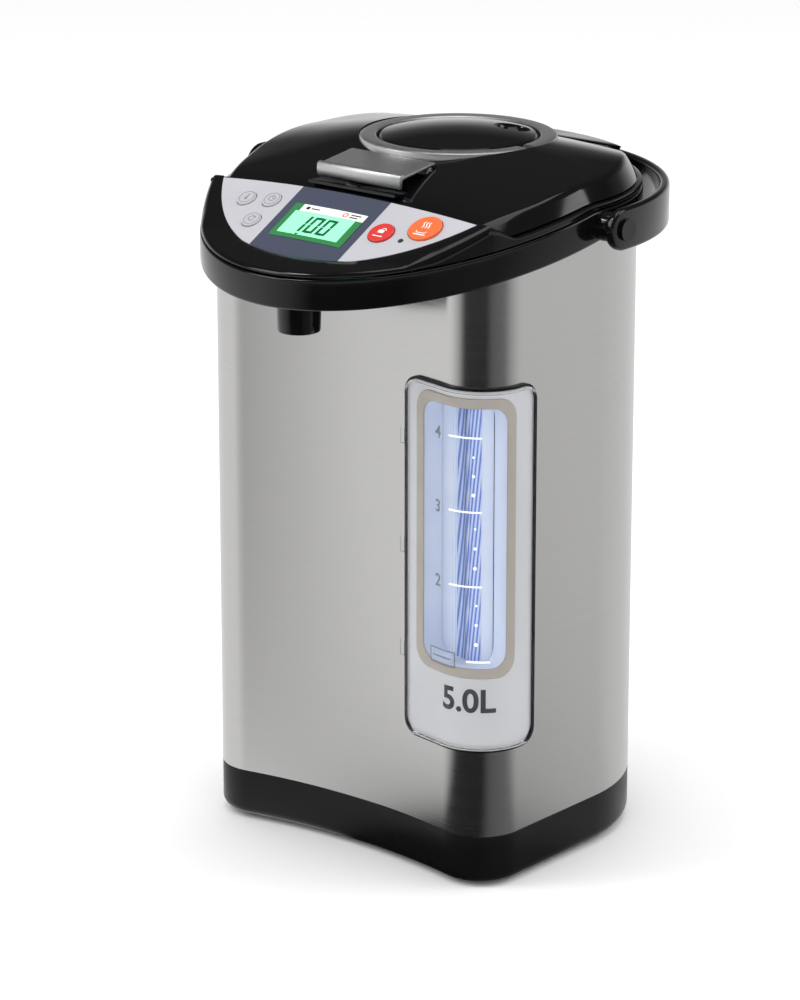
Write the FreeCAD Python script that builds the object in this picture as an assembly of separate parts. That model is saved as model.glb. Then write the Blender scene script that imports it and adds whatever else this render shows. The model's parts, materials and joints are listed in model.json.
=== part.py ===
import FreeCAD, Part
import math
import os

# Electric thermo pot, in millimetres. +Z is up and the front faces -Y.
# The origin is at the middle of the footprint, handle included, on the floor.

# Base and feet
FOOT_HEIGHT = 2.0
FOOT_R = 7.5
FOOT_STEM_R = 3.0
BASE_TOP = 27.0
BASE_WALL = 2.5
BASE_EDGE_FILLET = 4.5
BOTTOM_PLATE_THICKNESS = 3.0
FOOT_PLACES = [(70.0, -44.0), (-70.0, -44.0), (50.0, 72.0), (-50.0, 72.0)]
SCREW_PLACES = [(48.0, -40.0), (-48.0, -40.0), (34.0, 62.0), (-34.0, 62.0)]
SCREW_R = 1.5
SCREW_HEAD_R = 3.0
SCREW_LENGTH = 12.0

# Steel wrap seen from above: a hollowed front, small front corners, large rear corners
BODY_HALF_WIDTH = 94.0
BODY_REAR = 105.5
SCOOP_Y = -56.5
SCOOP_R = 310.0
FRONT_CORNER_R = 23.0
REAR_CORNER_R = 82.0
STEEL = 1.0

# Head: an oval that leans forward, cut by surfaces of one tilt
HEAD_OVERHANG = 11.0
HEAD_HALF_WIDTH = BODY_HALF_WIDTH + HEAD_OVERHANG
HEAD_FRONT_REACH = 131.0
HEAD_REAR_REACH = 99.0
HANDLE_REACH = 112.0
HEAD_TILT = 0.19
COLLAR_LOW = 319.1
SEAM_LEVEL = 334.9
LID_LEVEL = 338.5
HEAD_WALL = 2.5
PANEL_WALL = 3.0
LIP_RISE = 2.0
LIP_SOLID_Y = -107.0
SEAM_GAP = 0.4
LID_GAP = 0.6

# Crowned top: the lid is an arc from front to rear, and all of it falls off to the sides
LID_TOP = 358.0
LID_CENTRE_Y = 24.3
LID_ARC_R = 169.0
CROWN_R = 972.0
LID_FRONT = -56.0
LID_REAR = 87.0
LID_INSET = 3.0

# Sloping front panel
PANEL_SLOPE = 0.5355
PANEL_REF_Y = -60.1
PANEL_REF_Z = 339.0
PANEL_BACK = -58.5
PANEL_BORDER = 4.0
PANEL_HALF_WIDTH = HEAD_HALF_WIDTH - PANEL_BORDER
PANEL_FRONT_REACH = 113.0
PANEL_SHEET = 0.8
BAND_HALF_WIDTH = 28.0
BAND_SHEET = 0.3
LCD_HALF_WIDTH = 23.0
LCD_BACK = -69.0
LCD_FRONT = -91.0
LCD_DEPTH = 4.0
BUTTON_PROUD = 0.9
BUTTON_TRAVEL = 0.8
BUTTON_STEM = 4.0
BUTTON_CLEARANCE = 0.3
BUTTONS = {
    "button_unlock": (37.3, -77.1, 6.7),
    "button_dispense": (57.5, -68.5, 8.6),
    "button_temperature": (-54.0, -71.0, 5.0),
    "button_timer": (-38.5, -70.0, 5.0),
    "button_reboil": (-39.5, -84.0, 5.0),
}
LED_PLACE = (50.5, -78.5, 1.2)

# Inner pot and its mouth
POT_Y = 24.5
POT_R = 76.0
POT_WALL = 0.8
POT_BOTTOM = 62.0
POT_RIM = 307.0
POT_EDGE_R = 12.0
POT_FLANGE = 3.0
FLANGE_THICKNESS = 1.2
DECK_THICKNESS = 3.0
MOUTH_R = 72.0
MOUTH_LEDGE = 7.0
PLUG_R = 62.0
SEAL_R = 67.0
SEAL_THICKNESS = 3.0

# Lid hinge, vent and latch
HINGE_Y = 90.5
HINGE_Z = 341.5
HINGE_PIN_R = 2.0
KNUCKLE_R = 3.5
KNUCKLE_RUN = 0.6
KNUCKLE_GAP = 0.4
HINGE_RUN = 0.05
HINGE_COVER_HALF_WIDTH = 62.0
HINGE_COVER_TOP = 345.5
HINGE_SWING_R = 6.2
KNUCKLES = [(-34.0, -20.0), (20.0, 34.0)]
LUGS = [(-46.0, -34.4), (-19.6, 19.6), (34.4, 46.0)]
RING_Y = 27.0
RING_OUTER_R = 49.5
RING_INNER_R = 40.6
RING_SET = 2.0
RING_TALL = 7.0
CAP_RISE = 4.6
RING_TOP = LID_TOP - RING_SET
RING_FLOOR = RING_TOP - RING_TALL
CAP_TOP = RING_TOP + CAP_RISE
VENT_R = 18.0
LEVER_HALF_WIDTH = 26.5
LEVER_FRONT = -50.0
LEVER_REAR = -23.4
LEVER_LIP_BOTTOM = 344.0
LEVER_LIP_TOP = 350.3
LEVER_REAR_TOP = 353.2
LEVER_SHEET = 1.6
LEVER_PIN_R = 1.2
LEVER_EYE_R = 2.6

# Handle
HANDLE_STANDOFF = 13.0
HANDLE_HALF_WIDTH = HEAD_HALF_WIDTH + HANDLE_STANDOFF
HANDLE_THICKNESS = 5.0
HANDLE_TALL = 21.0
HANDLE_Z = 327.5
BOSS_R = 7.3
PIVOT_R = 3.0
PIVOT_HEAD_R = 5.5

# Spout and water path
SPOUT_Y = -94.5
SPOUT_BOTTOM = 278.4
SPOUT_R = 10.6
NOZZLE_R = 6.0
TUBE_BORE = 2.6
TUBE_SIDE = 23.0
TUBE_X = BODY_HALF_WIDTH - TUBE_SIDE
TUBE_Y = -57.0
TUBE_R = 4.0
TUBE_BOTTOM = 100.0
TUBE_TOP = 262.0
HOSE_R = 5.2
HOSE_BEND_R = 11.0
HOSE_HEAD_Z = 318.0
SPOUT_INLET_Z = 310.7

# Pump under the pot
PUMP_X = 42.0
PUMP_Y = -14.0
PUMP_R = 17.0
PUMP_LOW = 42.0
PUMP_HIGH = 54.0
PUMP_WALL = 2.0
IMPELLER_R = 12.0
MOTOR_R = 13.0
DECK_Z = 22.0
SHAFT_R = 1.5
HEATER_R = 46.0

# Water gauge around the right front corner
GAUGE_SIDE = 56.0
GAUGE_LEFT = BODY_HALF_WIDTH - GAUGE_SIDE
GAUGE_RIGHT_Y = -30.0
GAUGE_LOW = 72.0
GAUGE_HIGH = 257.0
GAUGE_CORNER = 9.0
GAUGE_LINE = 1.4
COVER_RISE = 3.0
COVER_SHEET = 1.6
BEZEL_SIDE = 48.0
BEZEL_LEFT = BODY_HALF_WIDTH - BEZEL_SIDE
BEZEL_RIGHT_Y = -44.0
BEZEL_LOW = 110.0
BEZEL_HIGH = 252.0
BEZEL_BORDER = 6.0
BEZEL_RISE = 0.9
PLATE_DEPTH = 11.5
PLATE_SHEET = 1.0

# Power inlet at the rear
INLET_Z = 46.0
INLET_HALF_WIDTH = 18.0
INLET_HALF_HEIGHT = 13.0
INLET_DEPTH = 12.0
INLET_WALL = 3.0

CUT_LOW = 250.0
CUT_HIGH = 390.0
BOARD_HALF_WIDTH = 66.0
BOARD_HALF_LENGTH = 11.4
BOARD_Y = -76.0
BOARD_DEPTH = 7.6
BOARD_THICKNESS = 1.6
BOARD_INSET = 8.0
FAR = 300.0
GAP = 0.1
HEAD_Y = (HEAD_FRONT_REACH - HANDLE_REACH) / 2
SCOOP_CENTRE_Y = SCOOP_Y - SCOOP_R
CORNER_X = BODY_HALF_WIDTH - FRONT_CORNER_R
CORNER_Y = SCOOP_CENTRE_Y + math.sqrt((SCOOP_R + FRONT_CORNER_R) ** 2 - CORNER_X ** 2)
REAR_X = BODY_HALF_WIDTH - REAR_CORNER_R
REAR_Y = BODY_REAR - REAR_CORNER_R
PANEL_ANGLE = math.degrees(math.atan(PANEL_SLOPE))


def vec(x, y, z=0.0):
    return FreeCAD.Vector(x, y, z)


def arc(a, b, c):
    return Part.Arc(a, b, c).toShape()


def line(a, b):
    return Part.LineSegment(a, b).toShape()


def prism(wire, low, high):
    moved = wire.translated(vec(0, 0, low))
    return Part.Face(moved).extrude(vec(0, 0, high - low))


def box(x0, x1, y0, y1, z0, z1):
    return Part.makeBox(x1 - x0, y1 - y0, z1 - z0, vec(x0, y0, z0))


def rod(radius, x, y, low, high):
    return Part.makeCylinder(radius, high - low, vec(x, y, low))


def cross_rod(radius, x0, x1, y, z):
    return Part.makeCylinder(radius, x1 - x0, vec(x0, y, z), vec(1, 0, 0))


def body_outline(inset):
    """Outline of the steel wrap, moved inwards by inset."""
    scoop = SCOOP_R + inset
    corner = FRONT_CORNER_R - inset
    rear = REAR_CORNER_R - inset
    side = BODY_HALF_WIDTH - inset
    lean = math.atan2(CORNER_X, CORNER_Y - SCOOP_CENTRE_Y)
    mid = lean / 2 - math.pi / 4
    slant = math.sqrt(0.5)
    start = vec(scoop * math.sin(lean), SCOOP_CENTRE_Y + scoop * math.cos(lean))
    bend = vec(CORNER_X + corner * math.cos(mid), CORNER_Y + corner * math.sin(mid))
    side_front = vec(side, CORNER_Y)
    side_rear = vec(side, REAR_Y)
    rear_bend = vec(REAR_X + rear * slant, REAR_Y + rear * slant)
    rear_end = vec(REAR_X, REAR_Y + rear)

    def left(point):
        return vec(-point.x, point.y)

    edges = [
        arc(left(start), vec(0, SCOOP_CENTRE_Y + scoop), start),
        arc(start, bend, side_front),
        line(side_front, side_rear),
        arc(side_rear, rear_bend, rear_end),
        line(rear_end, left(rear_end)),
        arc(left(rear_end), left(rear_bend), left(side_rear)),
        line(left(side_rear), left(side_front)),
        arc(left(side_front), left(bend), left(start)),
    ]
    return Part.Wire(edges)


def oval(half_width, front, rear):
    """Two half ellipses that share their width, at the head's centre."""
    centre = vec(0, HEAD_Y)
    right = vec(half_width, HEAD_Y)
    halves = []
    for reach in (front, rear):
        tip = vec(0, HEAD_Y + reach)
        if reach > half_width:
            ellipse = Part.Ellipse(tip, right, centre)
            halves.append(Part.ArcOfEllipse(ellipse, -math.pi / 2, math.pi / 2).toShape())
        else:
            ellipse = Part.Ellipse(right, tip, centre)
            halves.append(Part.ArcOfEllipse(ellipse, 0, math.pi).toShape())
    front_half = halves[0].mirror(centre, vec(0, 1, 0))
    return Part.Wire(Part.__sortEdges__([front_half, halves[1]]))


def head_oval(inset):
    return oval(HEAD_HALF_WIDTH - inset, HEAD_FRONT_REACH - inset, HEAD_REAR_REACH - inset)


def below(level, level_off):
    """All space under a tilted surface that turns level behind level_off."""
    radius = 60.0
    angle = math.atan(HEAD_TILT)
    start = vec(0, level_off, level + HEAD_TILT * level_off)
    middle = vec(0, level_off + radius * math.sin(angle) - radius * math.sin(angle / 2), start.z)
    centre = vec(0, level_off + radius * math.sin(angle), start.z - radius * math.cos(angle))
    middle.z = centre.z + radius * math.cos(angle / 2)
    end = vec(0, centre.y, centre.z + radius)
    front_top = vec(0, -FAR, level - HEAD_TILT * FAR)
    edges = [
        line(front_top, start),
        arc(start, middle, end),
        line(end, vec(0, FAR, end.z)),
        line(vec(0, FAR, end.z), vec(0, FAR, -FAR)),
        line(vec(0, FAR, -FAR), vec(0, -FAR, -FAR)),
        line(vec(0, -FAR, -FAR), front_top),
    ]
    face = Part.Face(Part.Wire(edges)).translated(vec(-FAR, 0, 0))
    return face.extrude(vec(2 * FAR, 0, 0))


def under_collar(lift):
    return below(COLLAR_LOW + lift, 20.0)


def under_seam(lift):
    return below(SEAM_LEVEL + lift, 0.0)


def under_lid(lift):
    return below(LID_LEVEL + lift, -5.0)


def crowned(profile):
    """Turn a closed profile at x = 0 about the long axis far below, for the side-to-side crown."""
    axis_z = LID_TOP - CROWN_R
    sweep = 16.0
    face = Part.Face(Part.Wire(profile))
    face.rotate(vec(0, 0, axis_z), vec(0, 1, 0), -sweep / 2)
    return face.revolve(vec(0, 0, axis_z), vec(0, 1, 0), sweep)


def under_dome(lift):
    def height(y):
        return LID_TOP + lift - (LID_ARC_R - math.sqrt(LID_ARC_R ** 2 - (y - LID_CENTRE_Y) ** 2))

    front = vec(0, -110.0, height(-110.0))
    rear = vec(0, 125.0, height(125.0))
    low = CUT_LOW
    return crowned([
        arc(front, vec(0, LID_CENTRE_Y, LID_TOP + lift), rear),
        line(rear, vec(0, rear.y, low)),
        line(vec(0, rear.y, low), vec(0, front.y, low)),
        line(vec(0, front.y, low), front),
    ])


def panel_height(y):
    return PANEL_REF_Z + PANEL_SLOPE * (y - PANEL_REF_Y)


def under_panel(lift):
    front = vec(0, -130.0, panel_height(-130.0) + lift)
    rear = vec(0, -45.0, panel_height(-45.0) + lift)
    low = 250.0
    return crowned([
        line(front, rear),
        line(rear, vec(0, rear.y, low)),
        line(vec(0, rear.y, low), vec(0, front.y, low)),
        line(vec(0, front.y, low), front),
    ])


def panel_point(x, y):
    return vec(x, y, panel_height(y) - x * x / (2 * CROWN_R))


def panel_normal():
    angle = math.radians(PANEL_ANGLE)
    return vec(0, -math.sin(angle), math.cos(angle))


def panel_rod(x, y, radius, deep, proud):
    """A cylinder square to the panel, from deep below its surface to proud above."""
    start = panel_point(x, y) - panel_normal() * deep
    return Part.makeCylinder(radius, deep + proud, start, panel_normal())


def panel_block(half_width, centre_y, half_length, top_depth, thickness):
    """A box lying parallel to the panel, its top face top_depth below the surface."""
    block = box(-half_width, half_width, -half_length, half_length, -thickness, 0)
    block.rotate(vec(0, 0, 0), vec(1, 0, 0), PANEL_ANGLE)
    block.translate(panel_point(0, centre_y) - panel_normal() * top_depth)
    return block


def gauge_region(left, right_y, low, high, corner):
    """A window that wraps the right front corner, with rounded ends."""
    front = box(left, CORNER_X, -FAR, CORNER_Y + FRONT_CORNER_R, low, high)
    ends = [edge for edge in front.Edges if is_along(edge, 1) and edge.CenterOfMass.x < left + 1]
    front = front.makeFillet(corner, ends)
    side = box(CORNER_X, FAR, -FAR, right_y, low, high)
    ends = [edge for edge in side.Edges if is_along(edge, 0) and edge.CenterOfMass.y > right_y - 1]
    side = side.makeFillet(corner, ends)
    return front.fuse(side)


def is_along(edge, axis):
    run = edge.Vertexes[1].Point - edge.Vertexes[0].Point
    return abs(run[axis]) > 0.99 * run.Length


def gauge_layer(outer_rise, inner_rise, region):
    """The part of a region that lies between two distances outside the steel."""
    outer = prism(body_outline(-outer_rise), GAUGE_LOW - 10, GAUGE_HIGH + 10)
    inner = prism(body_outline(-inner_rise), GAUGE_LOW - 11, GAUGE_HIGH + 11)
    return outer.cut(inner).common(region)


def window_region(shrink):
    return gauge_region(GAUGE_LEFT + shrink, GAUGE_RIGHT_Y - shrink, GAUGE_LOW + shrink,
                        GAUGE_HIGH - shrink, GAUGE_CORNER - shrink)


def bezel_region(shrink):
    return gauge_region(BEZEL_LEFT + shrink, BEZEL_RIGHT_Y - shrink, BEZEL_LOW + shrink,
                        BEZEL_HIGH - shrink, 8.0)


def write(node, shape):
    solids = shape.Solids
    result = solids[0] if len(solids) == 1 else Part.makeCompound(solids)
    if not result.isValid():
        raise ValueError("not a sound solid: " + node)
    result.exportStep(os.path.join("parts", node + ".step"))
    print(node, len(solids), round(result.Volume / 1000, 2), "cm3")


def base_cover():
    floor_top = FOOT_HEIGHT + BOTTOM_PLATE_THICKNESS
    cover = prism(body_outline(0), FOOT_HEIGHT, BASE_TOP)
    bottom = [edge for edge in cover.Edges if abs(edge.BoundBox.ZMax - FOOT_HEIGHT) < 0.01]
    cover = cover.makeFillet(BASE_EDGE_FILLET, bottom)
    cover = cover.cut(prism(body_outline(BASE_WALL), floor_top, BASE_TOP + 1))
    cover = cover.cut(prism(body_outline(8.2), 0, floor_top + 1))
    spigot = prism(body_outline(STEEL + GAP), BASE_TOP - 3, BASE_TOP + 6)
    spigot = spigot.cut(prism(body_outline(STEEL + BASE_WALL), BASE_TOP - 4, BASE_TOP + 7))
    return cover.fuse(spigot).removeSplitter()


def bottom_plate():
    floor_top = FOOT_HEIGHT + BOTTOM_PLATE_THICKNESS
    plate = prism(body_outline(8.4), FOOT_HEIGHT, floor_top)
    plate = plate.fuse(prism(body_outline(5.0), floor_top, floor_top + 1.5)).removeSplitter()
    for x, y in FOOT_PLACES:
        plate = plate.cut(rod(FOOT_STEM_R, x, y, 0, floor_top + 3))
    for x, y in SCREW_PLACES:
        plate = plate.cut(rod(SCREW_R + GAP, x, y, 0, floor_top + 3))
        plate = plate.cut(rod(SCREW_HEAD_R + GAP, x, y, 0, FOOT_HEIGHT + 2.5))
    return plate


def rubber_feet():
    feet = []
    for x, y in FOOT_PLACES:
        foot = rod(FOOT_R, x, y, 0, FOOT_HEIGHT)
        stem = rod(FOOT_STEM_R, x, y, FOOT_HEIGHT, FOOT_HEIGHT + BOTTOM_PLATE_THICKNESS + 1)
        feet.append(foot.fuse(stem).removeSplitter())
    return Part.makeCompound(feet)


def base_screws():
    screws = []
    head_low = FOOT_HEIGHT + 0.7
    head_high = FOOT_HEIGHT + 2.5
    for x, y in SCREW_PLACES:
        screw = rod(SCREW_HEAD_R, x, y, head_low, head_high)
        screw = screw.fuse(rod(SCREW_R, x, y, head_high, head_high + SCREW_LENGTH))
        slot = box(x - 2, x + 2, y - 0.4, y + 0.4, head_low - 1, head_low + 0.8)
        screws.append(screw.cut(slot))
    return Part.makeCompound(screws)


def base_deck():
    deck = prism(body_outline(STEEL + BASE_WALL + 0.3), DECK_Z, DECK_Z + 3)
    post_low = FOOT_HEIGHT + BOTTOM_PLATE_THICKNESS + 1.5
    for x, y in SCREW_PLACES:
        deck = deck.fuse(rod(5.0, x, y, post_low, DECK_Z))
    for x, y in SCREW_PLACES:
        deck = deck.cut(rod(SCREW_R + HINGE_RUN, x, y, post_low - 1, DECK_Z + 1))
    return deck


def outer_shell():
    shell = prism(body_outline(0), BASE_TOP, 360).common(under_collar(3.0))
    shell = shell.cut(prism(body_outline(STEEL), BASE_TOP - 1, 361))
    shell = shell.cut(bezel_region(1.2).common(box(0, FAR, -FAR, 0, 0, FAR)))
    return shell.cut(inlet_block(INLET_WALL))


def inlet_block(shrink):
    half_width = INLET_HALF_WIDTH - shrink
    half_height = INLET_HALF_HEIGHT - shrink
    return box(-half_width, half_width, BODY_REAR - INLET_DEPTH, BODY_REAR + 5,
               INLET_Z - half_height, INLET_Z + half_height)


def power_inlet():
    flange = inlet_block(0).common(box(-FAR, FAR, BODY_REAR, BODY_REAR + 1.8, 0, FAR))
    throat = inlet_block(INLET_WALL + GAP).common(box(-FAR, FAR, 0, BODY_REAR, 0, FAR))
    socket = inlet_block(INLET_WALL + 2.0)
    socket.translate(vec(0, 2.0, 0))
    return flange.fuse(throat).cut(socket).removeSplitter()


def inlet_pins():
    floor = BODY_REAR - INLET_DEPTH + 2.0
    pins = []
    for x in (-6.0, 6.0):
        pins.append(Part.makeCylinder(1.8, 6.0, vec(x, floor, INLET_Z), vec(0, 1, 0)))
    return Part.makeCompound(pins)


def collar_ring():
    ring = prism(head_oval(0), 260, 380).common(under_seam(-SEAM_GAP)).cut(under_collar(0))
    hollow = prism(head_oval(HEAD_WALL), CUT_LOW, CUT_HIGH).cut(under_collar(HEAD_WALL))
    ring = ring.cut(hollow)
    ring = ring.cut(prism(body_outline(-0.2), CUT_LOW, CUT_HIGH))
    ring = ring.cut(rod(NOZZLE_R + GAP, 0, SPOUT_Y, 280, 320))
    strap_inner = HANDLE_HALF_WIDTH - HANDLE_THICKNESS
    for side in (-1, 1):
        x0 = min(side * (HEAD_HALF_WIDTH - 2), side * (strap_inner - 0.4))
        x1 = max(side * (HEAD_HALF_WIDTH - 2), side * (strap_inner - 0.4))
        ring = ring.fuse(cross_rod(BOSS_R, x0, x1, HEAD_Y, HANDLE_Z))
    return ring.cut(cross_rod(PIVOT_R, -FAR, FAR, HEAD_Y, HANDLE_Z)).removeSplitter()


def bezel_blank():
    """The outer form: a deck round the lid, the sloping front, its lip and the hinge cover."""
    outline = prism(head_oval(0.5), 260, 380).cut(under_seam(0))
    front = box(-FAR, FAR, -FAR, PANEL_BACK + 1.2, CUT_LOW, CUT_HIGH)
    deck = outline.common(under_lid(0)).cut(front)
    wedge = outline.common(under_panel(0)).common(front)
    lip = outline.common(under_seam(LIP_RISE)).common(front)
    hump = outline.common(box(-HINGE_COVER_HALF_WIDTH, HINGE_COVER_HALF_WIDTH, LID_REAR + 1.5, FAR,
                              HINGE_Z - KNUCKLE_R, HINGE_COVER_TOP))
    return deck.fuse([wedge, lip]).cut(rod(MOUTH_R, 0, POT_Y, CUT_LOW, CUT_HIGH)).fuse(hump)


def head_bezel():
    bezel = bezel_blank()
    hollow = prism(head_oval(0.5 + HEAD_WALL), CUT_LOW, CUT_HIGH).common(under_panel(-PANEL_WALL))
    room = box(-FAR, FAR, LIP_SOLID_Y, PANEL_BACK + 1.2 - HEAD_WALL, CUT_LOW, CUT_HIGH)
    bezel = bezel.cut(hollow.common(room)).cut(panel_pocket())
    swing = cross_rod(HINGE_SWING_R, -HINGE_COVER_HALF_WIDTH, HINGE_COVER_HALF_WIDTH, HINGE_Y, HINGE_Z)
    bezel = bezel.cut(swing.cut(box(-FAR, FAR, 0, FAR, 0, HINGE_Z - KNUCKLE_R + 0.5)))
    for x0, x1 in KNUCKLES:
        pocket = cross_rod(KNUCKLE_R + KNUCKLE_RUN, x0 - KNUCKLE_GAP, x1 + KNUCKLE_GAP, HINGE_Y, HINGE_Z)
        bezel = bezel.cut(pocket)
    for x0, x1 in LUGS:
        web = box(x0, x1, HINGE_Y, HINGE_Y + HINGE_SWING_R + 2, HINGE_Z - KNUCKLE_R, HINGE_Z)
        bezel = bezel.fuse([cross_rod(KNUCKLE_R, x0, x1, HINGE_Y, HINGE_Z), web])
    bezel = bezel.cut(cross_rod(HINGE_PIN_R, LUGS[0][0], LUGS[-1][1], HINGE_Y, HINGE_Z))
    for x, y, radius in list(BUTTONS.values()) + [LED_PLACE]:
        bezel = bezel.cut(panel_rod(x, y, radius + BUTTON_CLEARANCE, 10, 5))
    return bezel.cut(lcd_block(0.3, 12.0)).removeSplitter()


def panel_outline(inset):
    return oval(PANEL_HALF_WIDTH - inset, PANEL_FRONT_REACH - inset, PANEL_HALF_WIDTH - inset)


def panel_pocket():
    pocket = prism(panel_outline(-0.1), CUT_LOW, CUT_HIGH).cut(under_panel(-PANEL_SHEET))
    return pocket.common(box(-FAR, FAR, -FAR, PANEL_BACK + 0.1, CUT_LOW, CUT_HIGH))


def lcd_block(grow, depth):
    middle = (LCD_BACK + LCD_FRONT) / 2
    half_length = (LCD_BACK - LCD_FRONT) / 2 / math.cos(math.radians(PANEL_ANGLE))
    return panel_block(LCD_HALF_WIDTH + grow, middle, half_length + grow, -5.0, depth + 5.0)


def panel_sheet(top, bottom):
    sheet = prism(panel_outline(0), CUT_LOW, CUT_HIGH).common(under_panel(top)).cut(under_panel(bottom))
    sheet = sheet.common(box(-FAR, FAR, -FAR, PANEL_BACK, CUT_LOW, CUT_HIGH))
    for x, y, radius in list(BUTTONS.values()) + [LED_PLACE]:
        sheet = sheet.cut(panel_rod(x, y, radius + BUTTON_CLEARANCE, 10, 5))
    return sheet.cut(lcd_block(0, 10.0))


def band_box(half_width):
    return box(-half_width, half_width, -FAR, 0, CUT_LOW, CUT_HIGH)


def control_panel():
    groove = band_box(BAND_HALF_WIDTH).cut(under_panel(-BAND_SHEET))
    return panel_sheet(0, -PANEL_SHEET + 0.02).cut(groove)


def display_band():
    return panel_sheet(0, -BAND_SHEET).common(band_box(BAND_HALF_WIDTH - 0.05))


def lcd_window():
    return lcd_block(-0.2, 10.0).common(under_panel(-0.1)).cut(under_panel(-0.9))


def lcd_module():
    middle = (LCD_BACK + LCD_FRONT) / 2
    return panel_block(LCD_HALF_WIDTH - 0.4, middle, 12.0, 1.6, LCD_DEPTH)


def push_button(x, y, radius):
    button = panel_rod(x, y, radius, BUTTON_STEM, BUTTON_PROUD)
    rim = [edge for edge in button.Edges if edge.CenterOfMass.z > panel_point(x, y).z]
    rim = [edge for edge in rim if edge.Curve.TypeId == "Part::GeomCircle"]
    return button.makeFillet(0.5, rim)


def led_lens():
    x, y, radius = LED_PLACE
    return panel_rod(x, y, radius, 3.0, 0.3)


def control_board():
    board = panel_block(BOARD_HALF_WIDTH, BOARD_Y, BOARD_HALF_LENGTH, BOARD_DEPTH, BOARD_THICKNESS)
    return board.common(prism(head_oval(BOARD_INSET), CUT_LOW, CUT_HIGH))


def key_switches():
    switches = []
    for x, y, _ in BUTTONS.values():
        base = panel_point(0, y).z - panel_point(x, y).z
        switch = panel_rod(x, y, 2.2, 7.55 - base, -(BUTTON_STEM + BUTTON_TRAVEL + 0.3))
        switches.append(switch)
    return Part.makeCompound(switches)


def spout_cover():
    cover = rod(SPOUT_R, 0, SPOUT_Y, SPOUT_BOTTOM, 320)
    root = Part.makeCone(SPOUT_R, SPOUT_R + 6, 12, vec(0, SPOUT_Y, 295))
    cover = cover.fuse(root).common(under_collar(-0.05))
    return cover.cut(rod(NOZZLE_R + GAP, 0, SPOUT_Y, 270, 330))


def hose_direction():
    run = vec(-TUBE_X, SPOUT_Y - TUBE_Y)
    return run.normalize()


def spout_nozzle():
    nozzle = rod(NOZZLE_R, 0, SPOUT_Y, SPOUT_BOTTOM + 1.5, SPOUT_INLET_Z + 4.5)
    back = hose_direction() * -1
    inlet = Part.makeCylinder(TUBE_R, 12.0, vec(0, SPOUT_Y, SPOUT_INLET_Z), back)
    nozzle = nozzle.fuse(inlet)
    nozzle = nozzle.cut(rod(NOZZLE_R - 1.5, 0, SPOUT_Y, SPOUT_BOTTOM, SPOUT_INLET_Z + 3))
    bore = Part.makeCylinder(TUBE_BORE, 14.0, vec(0, SPOUT_Y, SPOUT_INLET_Z), back)
    return nozzle.cut(bore)


def pipe(points, bend_radius, radius, bore):
    """A hose along straight runs joined by tangent arcs of one radius."""
    edges = []
    start = points[0]
    for before, corner, after in zip(points, points[1:], points[2:]):
        into = (corner - before).normalize()
        out = (after - corner).normalize()
        turn = into.getAngle(out)
        setback = bend_radius * math.tan(turn / 2)
        first = corner - into * setback
        last = corner + out * setback
        inward = (out - into).normalize()
        centre = corner + inward * (bend_radius / math.cos(turn / 2))
        edges.append(line(start, first))
        edges.append(arc(first, centre - inward * bend_radius, last))
        start = last
    edges.append(line(start, points[-1]))
    path = Part.Wire(edges)
    heading = points[1] - points[0]
    tube = None
    for size in (radius, bore):
        ring = Part.Wire(Part.makeCircle(size, points[0], heading))
        swept = path.makePipeShell([ring], True, False)
        tube = swept if tube is None else tube.cut(swept)
    return tube


def head_hose():
    back = hose_direction() * -1
    end = vec(0, SPOUT_Y, SPOUT_INLET_Z) + back * (NOZZLE_R + 1.5)
    level = vec(0, SPOUT_Y, SPOUT_INLET_Z) + back * 20.0
    top = vec(TUBE_X, TUBE_Y, HOSE_HEAD_Z)
    start = vec(TUBE_X, TUBE_Y, TUBE_TOP - 6)
    return pipe([start, top, level, end], HOSE_BEND_R, HOSE_R, TUBE_R)


def gauge_tube():
    tube = rod(TUBE_R, TUBE_X, TUBE_Y, TUBE_BOTTOM, TUBE_TOP)
    return tube.cut(rod(TUBE_BORE, TUBE_X, TUBE_Y, TUBE_BOTTOM - 1, TUBE_TOP + 1))


def pump_heading():
    run = vec(TUBE_X - PUMP_X, TUBE_Y - PUMP_Y)
    return run.normalize()


def pump_middle():
    return (PUMP_LOW + PUMP_HIGH) / 2


def riser_hose():
    start = vec(PUMP_X, PUMP_Y, pump_middle()) + pump_heading() * (PUMP_R + 2)
    corner = vec(TUBE_X, TUBE_Y, pump_middle())
    return pipe([start, corner, vec(TUBE_X, TUBE_Y, TUBE_BOTTOM + 8)], HOSE_BEND_R, HOSE_R, TUBE_R)


def pump_housing():
    housing = rod(PUMP_R, PUMP_X, PUMP_Y, PUMP_LOW, PUMP_HIGH)
    neck = rod(TUBE_R, PUMP_X, PUMP_Y, PUMP_HIGH - 1, PUMP_HIGH + 3)
    outlet = Part.makeCylinder(TUBE_R, PUMP_R + 10, vec(PUMP_X, PUMP_Y, pump_middle()), pump_heading())
    housing = housing.fuse([neck, outlet])
    room = rod(PUMP_R - PUMP_WALL, PUMP_X, PUMP_Y, PUMP_LOW + PUMP_WALL, PUMP_HIGH - PUMP_WALL)
    bore = Part.makeCylinder(TUBE_BORE, PUMP_R + 12, vec(PUMP_X, PUMP_Y, pump_middle()), pump_heading())
    return housing.cut(room).cut(rod(TUBE_BORE, PUMP_X, PUMP_Y, PUMP_HIGH - 5, FAR)).cut(bore)


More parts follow.
